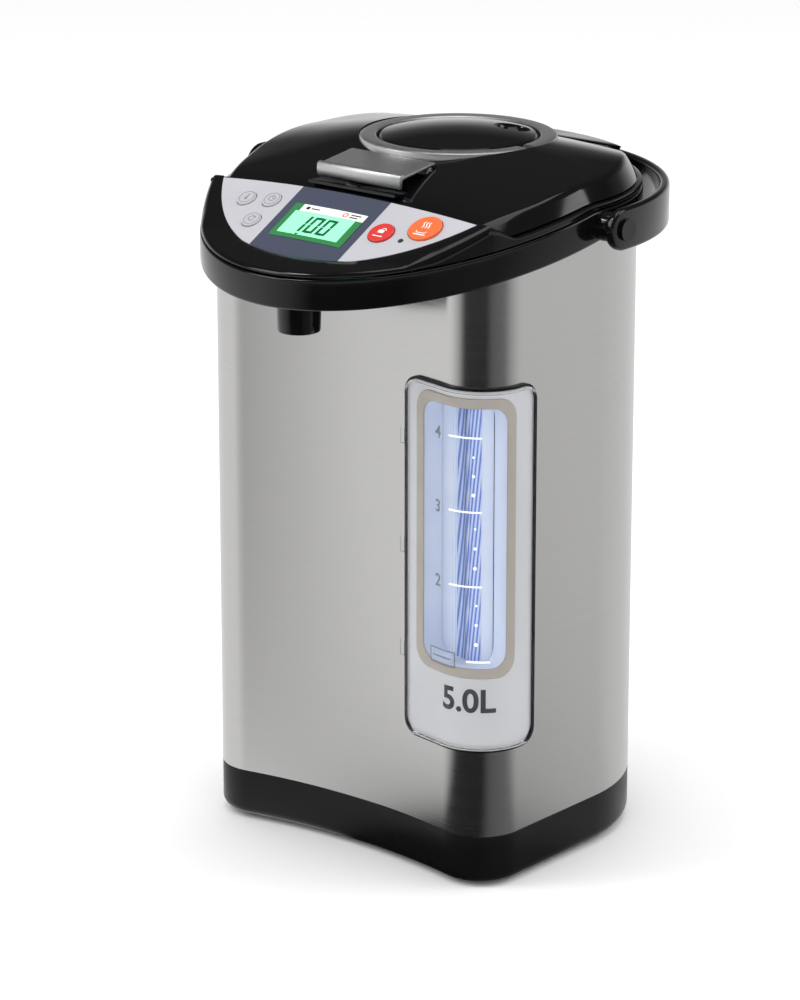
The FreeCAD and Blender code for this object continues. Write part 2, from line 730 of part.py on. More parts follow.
def pump_impeller():
    wheel = rod(IMPELLER_R, PUMP_X, PUMP_Y, PUMP_LOW + PUMP_WALL + 0.6, PUMP_LOW + PUMP_WALL + 3)
    top = PUMP_HIGH - PUMP_WALL - 0.8
    wheel = wheel.fuse(rod(2.4, PUMP_X, PUMP_Y, PUMP_LOW + PUMP_WALL + 1, top))
    for turn in range(6):
        vane = box(2, IMPELLER_R - 0.5, -0.5, 0.5, PUMP_LOW + PUMP_WALL + 2, top)
        vane.rotate(vec(0, 0, 0), vec(0, 0, 1), 60 * turn)
        wheel = wheel.fuse(vane.translated(vec(PUMP_X, PUMP_Y, 0)))
    return wheel.removeSplitter()


def motor_can():
    low = DECK_Z + 3
    can = rod(MOTOR_R, PUMP_X, PUMP_Y, low, PUMP_LOW)
    can = can.cut(rod(MOTOR_R - 1.2, PUMP_X, PUMP_Y, low + 1.2, PUMP_LOW + 1))
    return can


def motor_rotor():
    low = DECK_Z + 3 + 1.8
    rotor = rod(MOTOR_R - 3, PUMP_X, PUMP_Y, low + 1, PUMP_LOW - 3.4)
    rotor = rotor.fuse(rod(SHAFT_R, PUMP_X, PUMP_Y, low, PUMP_LOW - 2.5))
    return rotor.fuse(rod(MOTOR_R - 4, PUMP_X, PUMP_Y, PUMP_LOW - 2.5, PUMP_LOW - 0.6))


def pot_hose():
    sleeve = rod(HOSE_R, PUMP_X, PUMP_Y, PUMP_HIGH, POT_BOTTOM - 2)
    return sleeve.cut(rod(TUBE_R, PUMP_X, PUMP_Y, PUMP_HIGH - 1, POT_BOTTOM + 1))


def inner_pot():
    pot = rod(POT_R, 0, POT_Y, POT_BOTTOM, POT_RIM)
    edge = [item for item in pot.Edges if item.BoundBox.ZMax < POT_BOTTOM + 1]
    pot = pot.makeFillet(POT_EDGE_R, edge)
    room = rod(POT_R - POT_WALL, 0, POT_Y, POT_BOTTOM + POT_WALL, POT_RIM + 1)
    edge = [item for item in room.Edges if item.BoundBox.ZMax < POT_BOTTOM + POT_WALL + 1]
    room = room.makeFillet(POT_EDGE_R - POT_WALL, edge)
    flange = rod(POT_R + POT_FLANGE, 0, POT_Y, POT_RIM - FLANGE_THICKNESS, POT_RIM)
    spigot = rod(TUBE_R, PUMP_X, PUMP_Y, POT_BOTTOM - 5, POT_BOTTOM + 0.4)
    pot = pot.fuse([flange, spigot]).cut(room)
    return pot.cut(rod(TUBE_BORE, PUMP_X, PUMP_Y, POT_BOTTOM - 6, POT_BOTTOM + 3))


def top_deck():
    low = POT_RIM - FLANGE_THICKNESS - DECK_THICKNESS
    deck = prism(body_outline(STEEL + 0.3), low, low + DECK_THICKNESS)
    deck = deck.cut(rod(POT_R + 0.4, 0, POT_Y, low - 1, low + 5))
    return deck.cut(rod(HOSE_R + 0.3, TUBE_X, TUBE_Y, low - 1, low + 5))


def mouth_ring():
    ring = rod(POT_R + POT_FLANGE, 0, POT_Y, POT_RIM + GAP, 350).common(under_seam(-0.1))
    ring = ring.cut(rod(MOUTH_R, 0, POT_Y, POT_RIM + 2.2, 351))
    return ring.cut(rod(MOUTH_R - MOUTH_LEDGE, 0, POT_Y, POT_RIM - 1, 351))


def heater_plate():
    return rod(HEATER_R, 0, POT_Y, POT_BOTTOM - 5, POT_BOTTOM - GAP)


def thermostat():
    can = rod(9.0, -14, POT_Y, POT_BOTTOM - 13, POT_BOTTOM - 5 - GAP)
    return can.fuse(box(-26, -2, POT_Y - 3, POT_Y + 3, POT_BOTTOM - 6.6, POT_BOTTOM - 5 - GAP))


def thermal_fuse():
    z = POT_BOTTOM - 5 - 2.6
    return Part.makeCylinder(2.4, 22, vec(0, POT_Y + 16, z), vec(1, 0, 0))


def power_board():
    board = box(-62, 2, -44, 6, DECK_Z + 8, DECK_Z + 9.6)
    for x, y in ((-58, -38), (-58, 2), (-4, -38), (-4, 2)):
        board = board.fuse(rod(2.5, x, y, DECK_Z + 3, DECK_Z + 8))
    return board.removeSplitter()


def board_parts():
    top = DECK_Z + 9.6
    relay = box(-54, -36, -36, -22, top, top + 14)
    transformer = box(-28, -8, -36, -16, top, top + 18)
    capacitor = rod(5.0, -46, -8, top, top + 14)
    return Part.makeCompound([relay, transformer, capacitor])


def lid_space(inset, front, rear):
    outline = prism(head_oval(inset), CUT_LOW, CUT_HIGH)
    return outline.common(box(-FAR, FAR, front, rear, CUT_LOW, CUT_HIGH))


def lid_cover():
    lid = lid_space(LID_INSET, LID_FRONT, LID_REAR).common(under_dome(0)).cut(under_lid(LID_GAP))
    hollow = lid_space(LID_INSET + HEAD_WALL, LID_FRONT + HEAD_WALL, LID_REAR - HEAD_WALL)
    hollow = hollow.common(under_dome(-HEAD_WALL))
    cup = rod(RING_OUTER_R + 2.0, 0, RING_Y, RING_FLOOR - 2.0, CUT_HIGH)
    finger = box(-LEVER_HALF_WIDTH - 3, LEVER_HALF_WIDTH + 3, -55, LEVER_REAR + 5, 338, 390)
    lid = lid.cut(hollow.cut(cup).cut(finger))
    lid = lid.cut(rod(RING_OUTER_R + GAP, 0, RING_Y, RING_FLOOR, CUT_HIGH))
    lid = lid.cut(lever_recess())
    for x0, x1 in LUGS:
        lid = lid.cut(cross_rod(4.3, x0 - 0.4, x1 + 0.4, HINGE_Y, HINGE_Z))
    for x0, x1 in KNUCKLES:
        lid = lid.fuse(cross_rod(KNUCKLE_R, x0, x1, HINGE_Y, HINGE_Z))
        lid = lid.fuse(box(x0, x1, LID_REAR - 2, HINGE_Y, HINGE_Z - 2.4, HINGE_Z + 2.4))
        lid = lid.cut(cross_rod(HINGE_PIN_R + HINGE_RUN, x0 - 1, x1 + 1, HINGE_Y, HINGE_Z))
    eye_y, eye_z = lever_axis()
    lid = lid.cut(cross_rod(LEVER_PIN_R, -LEVER_HALF_WIDTH - 3, LEVER_HALF_WIDTH + 3, eye_y, eye_z))
    lid = lid.cut(rod(VENT_R + GAP, 0, RING_Y, 330, 352))
    return lid.removeSplitter()


def lever_axis():
    return LEVER_REAR - 3.0, LEVER_REAR_TOP - LEVER_SHEET - 3.2


def lever_recess():
    """Room for the lever in the lid, with a finger scoop below its lip."""
    half = LEVER_HALF_WIDTH + 0.4
    eye_y, eye_z = lever_axis()
    slab = [vec(0, LID_FRONT - 1, 343.0), vec(0, LID_FRONT - 1, 390), vec(0, LEVER_REAR + 0.5, 390),
            vec(0, LEVER_REAR + 0.5, eye_z - 3.2), vec(0, eye_y - 5, eye_z - 3.2),
            vec(0, -44.0, 341.0), vec(0, LID_FRONT + 2, 341.0)]
    wire = Part.makePolygon(slab + [slab[0]])
    return Part.Face(wire).translated(vec(-half, 0, 0)).extrude(vec(2 * half, 0, 0))


def latch_lever():
    profile = [vec(0, LEVER_FRONT, LEVER_LIP_BOTTOM), vec(0, LEVER_FRONT, LEVER_LIP_TOP),
               vec(0, LEVER_REAR, LEVER_REAR_TOP), vec(0, LEVER_REAR, LEVER_REAR_TOP - LEVER_SHEET),
               vec(0, LEVER_FRONT + LEVER_SHEET, LEVER_LIP_TOP - LEVER_SHEET),
               vec(0, LEVER_FRONT + LEVER_SHEET, LEVER_LIP_BOTTOM)]
    wire = Part.makePolygon(profile + [profile[0]])
    plate = Part.Face(wire).translated(vec(-LEVER_HALF_WIDTH, 0, 0))
    lever = plate.extrude(vec(2 * LEVER_HALF_WIDTH, 0, 0))
    eye_y, eye_z = lever_axis()
    for x0, x1 in ((-LEVER_HALF_WIDTH, -LEVER_HALF_WIDTH + 8), (LEVER_HALF_WIDTH - 8, LEVER_HALF_WIDTH)):
        eye = cross_rod(LEVER_EYE_R, x0, x1, eye_y, eye_z)
        web = box(x0, x1, eye_y - 2, eye_y + 2, eye_z, LEVER_REAR_TOP - LEVER_SHEET - 0.2)
        lever = lever.fuse([eye, web])
    return lever.cut(cross_rod(LEVER_PIN_R + HINGE_RUN, -FAR, FAR, eye_y, eye_z)).removeSplitter()


def lever_pin():
    eye_y, eye_z = lever_axis()
    return cross_rod(LEVER_PIN_R, -LEVER_HALF_WIDTH - 3, LEVER_HALF_WIDTH + 3, eye_y, eye_z)


def lid_inner():
    liner = lid_space(LID_INSET + HEAD_WALL + 0.3, LID_FRONT + HEAD_WALL + 0.3, LID_REAR - HEAD_WALL - 0.3)
    liner = liner.common(under_lid(LID_GAP + 2.0)).cut(under_lid(LID_GAP))
    return liner.cut(rod(VENT_R + 0.3, 0, RING_Y, CUT_LOW, CUT_HIGH)).cut(lid_cover())


def lid_plug():
    plug = rod(PLUG_R, 0, POT_Y, POT_RIM + 3.5, CUT_HIGH).common(under_lid(LID_GAP - 0.05))
    room = rod(PLUG_R - 2, 0, POT_Y, POT_RIM + 5.5, CUT_HIGH)
    plug = plug.cut(room)
    hole = rod(2.0, 0, RING_Y, POT_RIM, POT_RIM + 10)
    for turn in range(6):
        angle = math.radians(60 * turn)
        hole = hole.fuse(rod(2.0, 9 * math.cos(angle), RING_Y + 9 * math.sin(angle), 300, 330))
    return plug.cut(hole)


def lid_seal():
    ring = rod(SEAL_R, 0, POT_Y, POT_RIM + 2.6, POT_RIM + 2.6 + SEAL_THICKNESS)
    return ring.cut(rod(PLUG_R, 0, POT_Y, POT_RIM, POT_RIM + 10))


def lid_trim_ring():
    ring = rod(RING_OUTER_R, 0, RING_Y, RING_FLOOR, RING_TOP)
    ring = ring.cut(rod(RING_INNER_R, 0, RING_Y, RING_FLOOR - 1, RING_TOP + 1))
    bevel = Part.makeCone(RING_OUTER_R - 1.0, RING_OUTER_R + 7.3, 8.3, vec(0, RING_Y, RING_TOP))
    ring = ring.cut(bevel)
    gap = box(0, RING_OUTER_R + 5, -3.0, 3.0, RING_FLOOR - 1, RING_TOP + 1)
    gap.rotate(vec(0, 0, 0), vec(0, 0, 1), -4.0)
    return ring.cut(gap.translated(vec(0, RING_Y, 0)))


def vent_cap():
    radius = RING_INNER_R - 0.35
    rise = CAP_TOP - RING_TOP
    dome_r = (radius ** 2 + rise ** 2) / (2 * rise)
    ball = Part.makeSphere(dome_r, vec(0, RING_Y, CAP_TOP - dome_r))
    cap = rod(radius, 0, RING_Y, RING_FLOOR + 3.3, CAP_TOP + 1).common(ball)
    angle = math.radians(51.0)
    place = vec(0.77 * radius * math.cos(angle), RING_Y + 0.77 * radius * math.sin(angle))
    return cap.cut(rod(7.0, place.x, place.y, RING_TOP - 1.5, CAP_TOP + 2))


def vent_body():
    vent = rod(VENT_R, 0, RING_Y, LID_LEVEL, RING_FLOOR + 3.0)
    return vent.cut(rod(VENT_R - 2, 0, RING_Y, LID_LEVEL - 1, RING_FLOOR + 1))


def hinge_pin():
    return cross_rod(HINGE_PIN_R, -46, 46, HINGE_Y, HINGE_Z)


def handle_wire(inset):
    centre = vec(0, HEAD_Y)
    right = vec(HANDLE_HALF_WIDTH - inset, HEAD_Y)
    rear = vec(0, HEAD_Y + HANDLE_REACH - inset)
    left = vec(-right.x, HEAD_Y)
    if right.x >= rear.y - HEAD_Y:
        half = Part.ArcOfEllipse(Part.Ellipse(right, rear, centre), 0, math.pi)
    else:
        half = Part.ArcOfEllipse(Part.Ellipse(rear, left, centre), -math.pi / 2, math.pi / 2)
    return Part.Wire([half.toShape(), line(left, right)])


def handle():
    low = HANDLE_Z - HANDLE_TALL / 2
    high = HANDLE_Z + HANDLE_TALL / 2
    bail = prism(handle_wire(0), low, high).cut(prism(handle_wire(HANDLE_THICKNESS), low - 1, high + 1))
    bail = bail.cut(box(-FAR, FAR, HEAD_Y - 1, HEAD_Y, low - 1, high + 1))
    x1 = HANDLE_HALF_WIDTH
    x0 = HANDLE_HALF_WIDTH - HANDLE_THICKNESS
    bail = bail.fuse([cross_rod(HANDLE_TALL / 2, x0, x1, HEAD_Y, HANDLE_Z),
                      cross_rod(HANDLE_TALL / 2, -x1, -x0, HEAD_Y, HANDLE_Z)])
    bail = bail.cut(cross_rod(PIVOT_R + HINGE_RUN, -FAR, FAR, HEAD_Y, HANDLE_Z))
    return bail.removeSplitter()


def handle_pins():
    pins = []
    for side in (-1, 1):
        start = side * (HEAD_HALF_WIDTH - HEAD_WALL)
        stop = side * (HANDLE_HALF_WIDTH + 0.3)
        cap = side * (HANDLE_HALF_WIDTH + 2.0)
        pin = cross_rod(PIVOT_R, min(start, stop), max(start, stop), HEAD_Y, HANDLE_Z)
        pin = pin.fuse(cross_rod(PIVOT_HEAD_R, min(stop, cap), max(stop, cap), HEAD_Y, HANDLE_Z))
        pins.append(pin)
    return Part.makeCompound(pins)


def gauge_cover():
    region = window_region(GAUGE_LINE)
    face = gauge_layer(COVER_RISE, COVER_RISE - COVER_SHEET, region)
    wall = gauge_layer(COVER_RISE, 0.05, region).cut(window_region(GAUGE_LINE + 1.6))
    return face.fuse(wall).removeSplitter()


def gauge_gasket():
    ring = gauge_layer(1.6, 0.05, window_region(0))
    return ring.cut(window_region(GAUGE_LINE - GAP))


def gauge_clips():
    clips = []
    for height in (0.24, 0.53, 0.83):
        z = GAUGE_LOW + height * (GAUGE_HIGH - GAUGE_LOW)
        zone = box(GAUGE_LEFT - 2.2, GAUGE_LEFT + 1.0, -FAR, 0, z - 4, z + 4)
        clips.append(gauge_layer(2.6, 1.65, zone))
    return Part.makeCompound(clips)


def gauge_bezel():
    frame = gauge_layer(BEZEL_RISE, 0.05, bezel_region(0))
    throat = gauge_layer(0.06, -PLATE_DEPTH + GAP, bezel_region(1.4))
    frame = frame.fuse(throat).cut(bezel_region(BEZEL_BORDER))
    return frame.cut(rod(TUBE_R + GAP, TUBE_X, TUBE_Y, BEZEL_LOW - 1, BEZEL_HIGH + 1)).removeSplitter()


def gauge_plate():
    return gauge_layer(-PLATE_DEPTH, -PLATE_DEPTH - PLATE_SHEET, bezel_region(1.4))


def main():
    os.makedirs("parts", exist_ok=True)
    pieces = {
        "base_cover": base_cover(), "bottom_plate": bottom_plate(), "rubber_feet": rubber_feet(),
        "base_screws": base_screws(), "base_deck": base_deck(), "outer_shell": outer_shell(),
        "power_inlet": power_inlet(), "inlet_pins": inlet_pins(), "collar_ring": collar_ring(),
        "head_bezel": head_bezel(), "control_panel": control_panel(), "display_band": display_band(),
        "lcd_window": lcd_window(), "lcd_module": lcd_module(), "led_lens": led_lens(),
        "control_board": control_board(), "key_switches": key_switches(),
        "spout_cover": spout_cover(), "spout_nozzle": spout_nozzle(), "head_hose": head_hose(),
        "gauge_tube": gauge_tube(), "riser_hose": riser_hose(), "pump_housing": pump_housing(),
        "pump_impeller": pump_impeller(), "motor_can": motor_can(), "motor_rotor": motor_rotor(),
        "pot_hose": pot_hose(), "inner_pot": inner_pot(), "top_deck": top_deck(),
        "mouth_ring": mouth_ring(), "heater_plate": heater_plate(), "thermostat": thermostat(),
        "thermal_fuse": thermal_fuse(), "power_board": power_board(), "board_parts": board_parts(),
        "lid_cover": lid_cover(), "lid_inner": lid_inner(), "lid_plug": lid_plug(),
        "lid_seal": lid_seal(), "lid_trim_ring": lid_trim_ring(), "vent_cap": vent_cap(),
        "vent_body": vent_body(), "latch_lever": latch_lever(), "lever_pin": lever_pin(),
        "hinge_pin": hinge_pin(), "handle": handle(), "handle_pins": handle_pins(),
        "gauge_cover": gauge_cover(), "gauge_gasket": gauge_gasket(), "gauge_clips": gauge_clips(),
        "gauge_bezel": gauge_bezel(), "gauge_plate": gauge_plate(),
    }
    for node, place in BUTTONS.items():
        pieces[node] = push_button(*place)
    for node, shape in pieces.items():
        write(node, shape)


main()
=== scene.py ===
# %% [markdown]
# An electric thermo pot, dressed for a studio picture. The frame brings in the
# solid pieces at their real size; each surface that shows is then modelled again
# as a smooth mesh in the same place, because a tessellated solid shows its facets
# in polished plastic and steel.

# %% Load the frame
import bpy
import bmesh
import json
import math
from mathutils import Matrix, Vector


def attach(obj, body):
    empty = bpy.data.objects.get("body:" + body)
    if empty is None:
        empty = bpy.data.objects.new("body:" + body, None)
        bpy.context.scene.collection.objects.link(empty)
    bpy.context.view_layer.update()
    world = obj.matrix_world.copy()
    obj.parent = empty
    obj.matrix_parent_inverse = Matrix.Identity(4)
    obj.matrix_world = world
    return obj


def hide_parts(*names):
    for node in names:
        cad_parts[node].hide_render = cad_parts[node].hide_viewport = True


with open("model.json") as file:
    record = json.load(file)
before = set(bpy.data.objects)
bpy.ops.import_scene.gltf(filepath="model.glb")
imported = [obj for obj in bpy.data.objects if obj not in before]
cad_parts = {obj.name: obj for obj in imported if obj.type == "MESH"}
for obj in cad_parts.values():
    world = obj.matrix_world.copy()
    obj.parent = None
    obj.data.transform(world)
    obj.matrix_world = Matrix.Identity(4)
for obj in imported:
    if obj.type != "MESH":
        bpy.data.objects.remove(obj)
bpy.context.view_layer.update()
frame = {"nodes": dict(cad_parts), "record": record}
MM = 0.001
print("frame nodes:", len(frame["nodes"]))

# %% [markdown]
# The body is the same outline all the way up: a hollowed front, two small front
# corners and two large rear ones. The head is an oval that leans forward. These
# sizes repeat the solid's own, in millimetres, and every piece below uses them.

# %% Sizes of the body and the head
BODY_HALF_WIDTH = 94.0
BODY_REAR = 105.5
SCOOP_Y = -56.5
SCOOP_R = 310.0
FRONT_CORNER_R = 23.0
REAR_CORNER_R = 82.0
BASE_LOW = 2.0
BASE_TOP = 27.0
HEAD_HALF_WIDTH = 105.0
HEAD_FRONT_REACH = 131.0
HEAD_REAR_REACH = 99.0
HEAD_Y = 9.5
HEAD_TILT = 0.19
EASE_R = 60.0
COLLAR_LOW = 319.1
SEAM_LEVEL = 334.9
LID_LEVEL = 338.5
LID_TOP = 358.0
LID_CENTRE_Y = 24.3
LID_ARC_R = 169.0
CROWN_R = 972.0
LID_FRONT = -56.0
LID_REAR = 87.0
PANEL_SLOPE = 0.5355
PANEL_REF_Y = -60.1
PANEL_REF_Z = 339.0
PANEL_BACK = -58.5
CORNER_X = BODY_HALF_WIDTH - FRONT_CORNER_R
SCOOP_CENTRE_Y = SCOOP_Y - SCOOP_R
CORNER_Y = SCOOP_CENTRE_Y + math.sqrt((SCOOP_R + FRONT_CORNER_R) ** 2 - CORNER_X ** 2)
REAR_X = BODY_HALF_WIDTH - REAR_CORNER_R
REAR_Y = BODY_REAR - REAR_CORNER_R
PANEL_ANGLE = math.atan(PANEL_SLOPE)
print("body", 2 * BODY_HALF_WIDTH, "mm wide; panel slope", round(math.degrees(PANEL_ANGLE), 1), "degrees")

# %% [markdown]
# Most pieces start as points in millimetres. These helpers scale them to metres,
# smooth the mesh and tell the frame which body the piece rides on. A piece that
# needs a modifier is a draft first, and its evaluated mesh becomes the piece.

# %% Helpers that turn points into a finished piece


def linked(name, data):
    """An object for a mesh, a curve, a light or a camera, put in the scene."""
    item = bpy.data.objects.new(name, data)
    bpy.context.scene.collection.objects.link(item)
    return item


def plain_mesh(name, verts, faces):
    mesh = bpy.data.meshes.new(name)
    mesh.from_pydata([Vector(v) * MM for v in verts], [], faces)
    return mesh


def draft_piece(name, verts, faces):
    """A mended mesh in the scene, ready for modifiers or for cutting another."""
    mesh = plain_mesh(name, verts, faces)
    recalculate(mesh)
    return linked(name, mesh)


def evaluated(draft, name, material=None):
    """The plain mesh that a draft's modifiers give; the draft is removed."""
    graph = bpy.context.evaluated_depsgraph_get()
    mesh = bpy.data.meshes.new_from_object(draft.evaluated_get(graph))
    bpy.data.objects.remove(draft)
    mesh.name = name
    if material:
        mesh.materials.clear()
        mesh.materials.append(material)
    return mesh


def finish_piece(name, verts, faces, body, material, slot, stands_for=(), sharp=35, mend=True):
    """Make a mesh from points in millimetres, smooth it, and hand it to its body."""
    mesh = plain_mesh(name, verts, faces)
    mesh.validate()
    if mend:
        recalculate(mesh)
    mesh.shade_smooth()
    mesh.set_sharp_from_angle(angle=math.radians(sharp))
    piece = linked(name, mesh)
    mesh.materials.append(material)
    dress(piece, body, slot, stands_for)
    return piece


def tell(*pieces):
    for piece in pieces:
        print(piece.name, "has", len(piece.data.polygons), "faces")


def dress(piece, body, slot, stands_for=()):
    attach(piece, body)
    if stands_for:
        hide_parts(*stands_for)


def recalculate(mesh):
    work = bmesh.new()
    work.from_mesh(mesh)
    bmesh.ops.remove_doubles(work, verts=work.verts, dist=1e-6)
    bmesh.ops.recalc_face_normals(work, faces=work.faces)
    work.to_mesh(mesh)
    work.free()


def grid_faces(rows, columns, closed=False, start=0):
    """Quads between rows of points; closed joins each row's end to its start."""
    faces = []
    last = columns if closed else columns - 1
    for r in range(rows - 1):
        for c in range(last):
            n = (c + 1) % columns
            a = start + r * columns
            b = a + columns
            faces.append((a + c, a + n, b + n, b + c))
    return faces


def loft(rings, caps=True):
    """A skin over closed rings that all have as many points."""
    count = len(rings[0])
    verts = [p for ring in rings for p in ring]
    faces = grid_faces(len(rings), count, closed=True)
    if caps:
        faces.append(tuple(reversed(range(count))))
        faces.append(tuple(range((len(rings) - 1) * count, len(rings) * count)))
    return verts, faces


def tunnel(rings):
    """A loft whose last ring joins its first, as in a frame with a hole."""
    verts, faces = loft(rings, caps=False)
    count = len(rings[0])
    last = (len(rings) - 1) * count
    for k in range(count):
        n = (k + 1) % count
        faces.append((k, n, last + n, last + k))
    return verts, faces


def lathe(profile, steps=96):
    """Turn (radius, height) points about +Z at the origin."""
    rings = []
    for radius, height in profile:
        ring = []
        for k in range(steps):
            angle = 2 * math.pi * k / steps
            ring.append((radius * math.cos(angle), radius * math.sin(angle), height))
        rings.append(ring)
    return rings


def box_mesh(x0, x1, y0, y1, z0, z1):
    verts = [(x, y, z) for z in (z0, z1) for y in (y0, y1) for x in (x0, x1)]
    faces = [(0, 2, 3, 1), (4, 5, 7, 6), (0, 1, 5, 4), (2, 6, 7, 3), (0, 4, 6, 2), (1, 3, 7, 5)]
    return verts, faces


# %% [markdown]
# Walking once round the body's outline gives each place a distance, a point and
# an outward direction. The wrap, the base and everything on the gauge use it.

# %% The outline as a path


def outline_pieces():
    lean = math.atan2(CORNER_X, CORNER_Y - SCOOP_CENTRE_Y)
    quarter = math.pi / 2
    return [
        ("scoop", SCOOP_R * lean, lean),
        ("corner", FRONT_CORNER_R * (quarter + lean), lean),
        ("side", REAR_Y - CORNER_Y, 0),
        ("rear", REAR_CORNER_R * quarter, 0),
        ("back", REAR_X, 0),
    ]


HALF_LENGTH = sum(length for _, length, _ in outline_pieces())


def outline_at(u, offset=0.0):
    """The point u millimetres to the right of the front's middle, offset outwards."""
    mirror = 1.0
    u = (u + HALF_LENGTH) % (2 * HALF_LENGTH) - HALF_LENGTH
    if u < 0:
        mirror = -1.0
        u = -u
    for kind, length, lean in outline_pieces():
        if u <= length or kind == "back":
            break
        u -= length
    if kind == "scoop":
        angle = u / SCOOP_R
        reach = SCOOP_R - offset
        x, y = reach * math.sin(angle), SCOOP_CENTRE_Y + reach * math.cos(angle)
    elif kind == "corner":
        angle = -math.pi / 2 - lean + u / FRONT_CORNER_R
        reach = FRONT_CORNER_R + offset
        x, y = CORNER_X + reach * math.cos(angle), CORNER_Y + reach * math.sin(angle)
    elif kind == "side":
        x, y = BODY_HALF_WIDTH + offset, CORNER_Y + u
    elif kind == "rear":
        angle = u / REAR_CORNER_R
        reach = REAR_CORNER_R + offset
        x, y = REAR_X + reach * math.cos(angle), REAR_Y + reach * math.sin(angle)
    else:
        x, y = REAR_X - u, BODY_REAR + offset
    return mirror * x, y


def path_places(step=2.0):
    count = 2 * round(HALF_LENGTH / step)
    return [-HALF_LENGTH + 2 * HALF_LENGTH * k / count for k in range(count)]


def u_where(test):
    """The first distance to the right of the middle at which test(x, y) holds."""
    u = 0.0
    while not test(*outline_at(u)):
        u += 0.05
    return u


def u_front(reach):
    return u_where(lambda x, y: x >= reach)


def u_side(depth):
    return u_where(lambda x, y: x > CORNER_X and y >= depth)


print("outline length", round(2 * HALF_LENGTH), "mm")

# %% [markdown]
# The head's levels all lean forward by the same slope and turn level towards the
# rear, so one function gives each of them.

# %% Levels, dome and panel as functions


def level_at(level, level_off, y):
    angle = math.atan(HEAD_TILT)
    if y <= level_off:
        return level + HEAD_TILT * y
    centre_y = level_off + EASE_R * math.sin(angle)
    centre_z = level + HEAD_TILT * level_off - EASE_R * math.cos(angle)
    if y >= centre_y:
        return centre_z + EASE_R
    return centre_z + math.sqrt(EASE_R ** 2 - (y - centre_y) ** 2)


def collar_low(y):
    return level_at(COLLAR_LOW, 20.0, y)


def seam(y):
    return level_at(SEAM_LEVEL, 0.0, y)


def lid_gap(y):
    return level_at(LID_LEVEL, -5.0, y)


def dome(x, y):
    arc = LID_ARC_R - math.sqrt(LID_ARC_R ** 2 - (y - LID_CENTRE_Y) ** 2)
    return LID_TOP - arc - x * x / (2 * CROWN_R)


def panel(x, y):
    return PANEL_REF_Z + PANEL_SLOPE * (y - PANEL_REF_Y) - x * x / (2 * CROWN_R)


def oval_reach(angle, half_width, front, rear):
    """Distance from the head's centre to an oval's edge in one direction."""
    c, s = math.cos(angle), math.sin(angle)
    depth = rear if s > 0 else front
    return 1 / math.sqrt((c / half_width) ** 2 + (s / depth) ** 2)


def head_edge(angle, inset=0.0):
    return oval_reach(angle, HEAD_HALF_WIDTH - inset, HEAD_FRONT_REACH - inset, HEAD_REAR_REACH - inset)


def reach_to(centre, angle, inside):
    """How far a ray from centre goes before inside(x, y) turns false."""
    low, high = 0.0, 300.0
    for _ in range(40):
        middle = (low + high) / 2
        point = (centre[0] + middle * math.cos(angle), centre[1] + middle * math.sin(angle))
        if inside(*point):
            low = middle
        else:
            high = middle
    return low


def in_head(inset):
    def inside(x, y):
        depth = (HEAD_REAR_REACH if y > HEAD_Y else HEAD_FRONT_REACH) - inset
        return (x / (HEAD_HALF_WIDTH - inset)) ** 2 + ((y - HEAD_Y) / depth) ** 2 <= 1
    return inside


print("lid top", round(dome(0, LID_CENTRE_Y), 1), "mm; panel front edge", round(panel(0, -103.5), 1), "mm")

# %% [markdown]
# Finishes come next, one function each. A finish on a real thing is never one
# colour: polished plastic has faint waves and dust, steel has brush lines, and a
# printed film has a fine grain. Noise on Object coordinates gives each of these.

# %% A base for all finishes


def set_inputs(node, **values):
    """Set a node's inputs by name, with an underscore for each space."""
    for label, value in values.items():
        node.inputs[label.replace("_", " ")].default_value = value


def add_node(tree, kind, **values):
    node = tree.nodes.new(kind)
    set_inputs(node, **values)
    return node


def finish_nodes(name, colour, roughness, metallic=0.0, specular=0.5):
    material = bpy.data.materials.new(name)
    material.use_nodes = True
    shader = material.node_tree.nodes["Principled BSDF"]
    set_inputs(shader, Base_Color=(*colour, 1), Roughness=roughness, Metallic=metallic,
               Specular_IOR_Level=specular)
    material.diffuse_color = (*colour, 1)
    return material, material.node_tree, shader


def noise(tree, scale, detail=3.0, stretch=(1, 1, 1)):
    place = tree.nodes.new("ShaderNodeTexCoord")
    mapping = add_node(tree, "ShaderNodeMapping", Scale=stretch)
    texture = add_node(tree, "ShaderNodeTexNoise", Scale=scale, Detail=detail)
    tree.links.new(place.outputs["Object"], mapping.inputs["Vector"])
    tree.links.new(mapping.outputs["Vector"], texture.inputs["Vector"])
    return texture.outputs["Fac"]


def spread(tree, source, low, high):
    """Rescale a 0 to 1 signal for a roughness socket."""
    node = add_node(tree, "ShaderNodeMapRange", From_Min=0.3, From_Max=0.7, To_Min=low, To_Max=high)
    tree.links.new(source, node.inputs["Value"])
    return node.outputs["Result"]


def tint(tree, source, dark, light):
    node = tree.nodes.new("ShaderNodeMix")
    node.data_type = "RGBA"
    node.inputs["A"].default_value = (*dark, 1)
    node.inputs["B"].default_value = (*light, 1)
    tree.links.new(source, node.inputs["Factor"])
    return node.outputs["Result"]


def bump(tree, shader, source, distance, strength=0.5):
    node = add_node(tree, "ShaderNodeBump", Distance=distance, Strength=strength)
    tree.links.new(source, node.inputs["Height"])
    tree.links.new(node.outputs["Normal"], shader.inputs["Normal"])


def paint(tree, shader, source, dark, light):
    tree.links.new(tint(tree, source, dark, light), shader.inputs["Base Color"])


def uneven_gloss(tree, shader, source, roughness, low=0.85, high=1.2):
    gloss = spread(tree, source, roughness * low, roughness * high)
    tree.links.new(gloss, shader.inputs["Roughness"])


